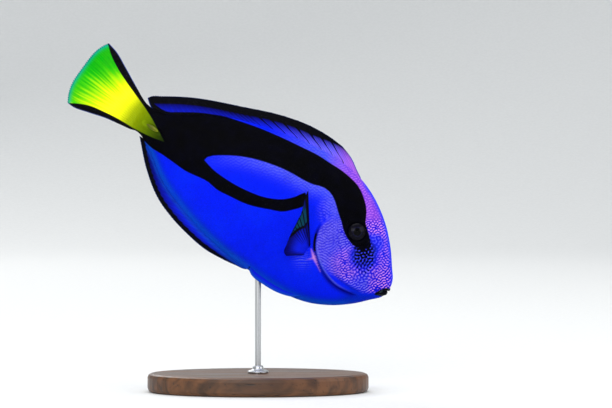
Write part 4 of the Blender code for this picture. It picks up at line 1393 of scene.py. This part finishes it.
steel, tree, shader = new_material("brushed_stainless_steel", Metallic=1.0)
brush = noise(tree, 0.00012, 5.0, (1, 1, 60))
dress(tree, shader, blended(tree, brush, "#a9abae", "#c6c8ca"), brush, 0.22, 0.38, brush, 0.000012)

for node, finish in (("stand_base", walnut), ("stand_rod", steel)):
    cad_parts[node].material_slots[0].material = finish

BASE_TOP = 0.010
# The collar's profile, as (metres from the rod's axis, metres above the wood).
COLLAR = np.array([
    (0.0017, 0.0000), (0.0052, 0.0000), (0.0056, 0.0003), (0.0056, 0.0010), (0.0050, 0.0015),
    (0.0036, 0.0018), (0.0030, 0.0024), (0.0028, 0.0036), (0.0024, 0.0040), (0.0017, 0.0040),
])


def collar(u, v):
    """A turned ring: u runs straight from point to point of the profile, and v carries it round the rod."""
    run = np.linspace(0, 1, len(COLLAR))
    radius, rise = (np.interp(u, run, COLLAR[:, k]) for k in (0, 1))
    angle = 2 * math.pi * v
    return np.stack([radius * np.cos(angle), radius * np.sin(angle), BASE_TOP + rise], axis=-1)


surface("stand_collar", collar, 45, 64, steel)

# %% [markdown]
# ## Floor
#
# The floor is one pale sheet of paper that curves up all round into a wall, so that no edge shows behind
# the fish from any side. It is a profile turned about the stand, and it isn't part of the object.

# %% Turn the floor
paper, tree, shader = new_material("matt_pale_paper", Roughness=0.9, Specular_IOR_Level=0.1)
fibres = ranged(tree, noise(tree, 0.002), 0.3, 0.7)
tree.links.new(blended(tree, fibres, "#dededc", "#e1e1df"), shader.inputs["Base Color"])
# The paper's flat radius, the radius of its curve and the height of its wall, in metres.
FLAT, CURVE, WALL = 2.0, 1.8, 1.2
bend = np.linspace(0, math.pi / 2, 24)
profile = np.concatenate([
    [(0.001, 0), (0.4, 0), (1.2, 0)],
    np.stack([FLAT + CURVE * np.sin(bend), CURVE * (1 - np.cos(bend))], axis=1),
    [(FLAT + CURVE, CURVE + WALL)],
])
turned = np.linspace(0, 2 * math.pi, 97)
far, up = profile[:, :1], profile[:, 1:]
sweep = np.stack([far * np.cos(turned), far * np.sin(turned), up + 0 * turned], axis=-1)
mesh = grid_mesh("paper_floor", sweep, {})
mesh.flip_normals()
mesh.shade_smooth()
mesh.materials.append(paper)
floor = linked("paper_floor", mesh)
floor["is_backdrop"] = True

# %% [markdown]
# ## Sizes
#
# The dressed model has to keep the solids' size, so both boxes are written down side by side.

# %% Write the sizes and finish
boxes = {"cad": cad_box, "visual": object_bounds()}
boxes = {key: [[float(x) for x in corner] for corner in box] for key, box in boxes.items()}
print("sizes:", boxes)
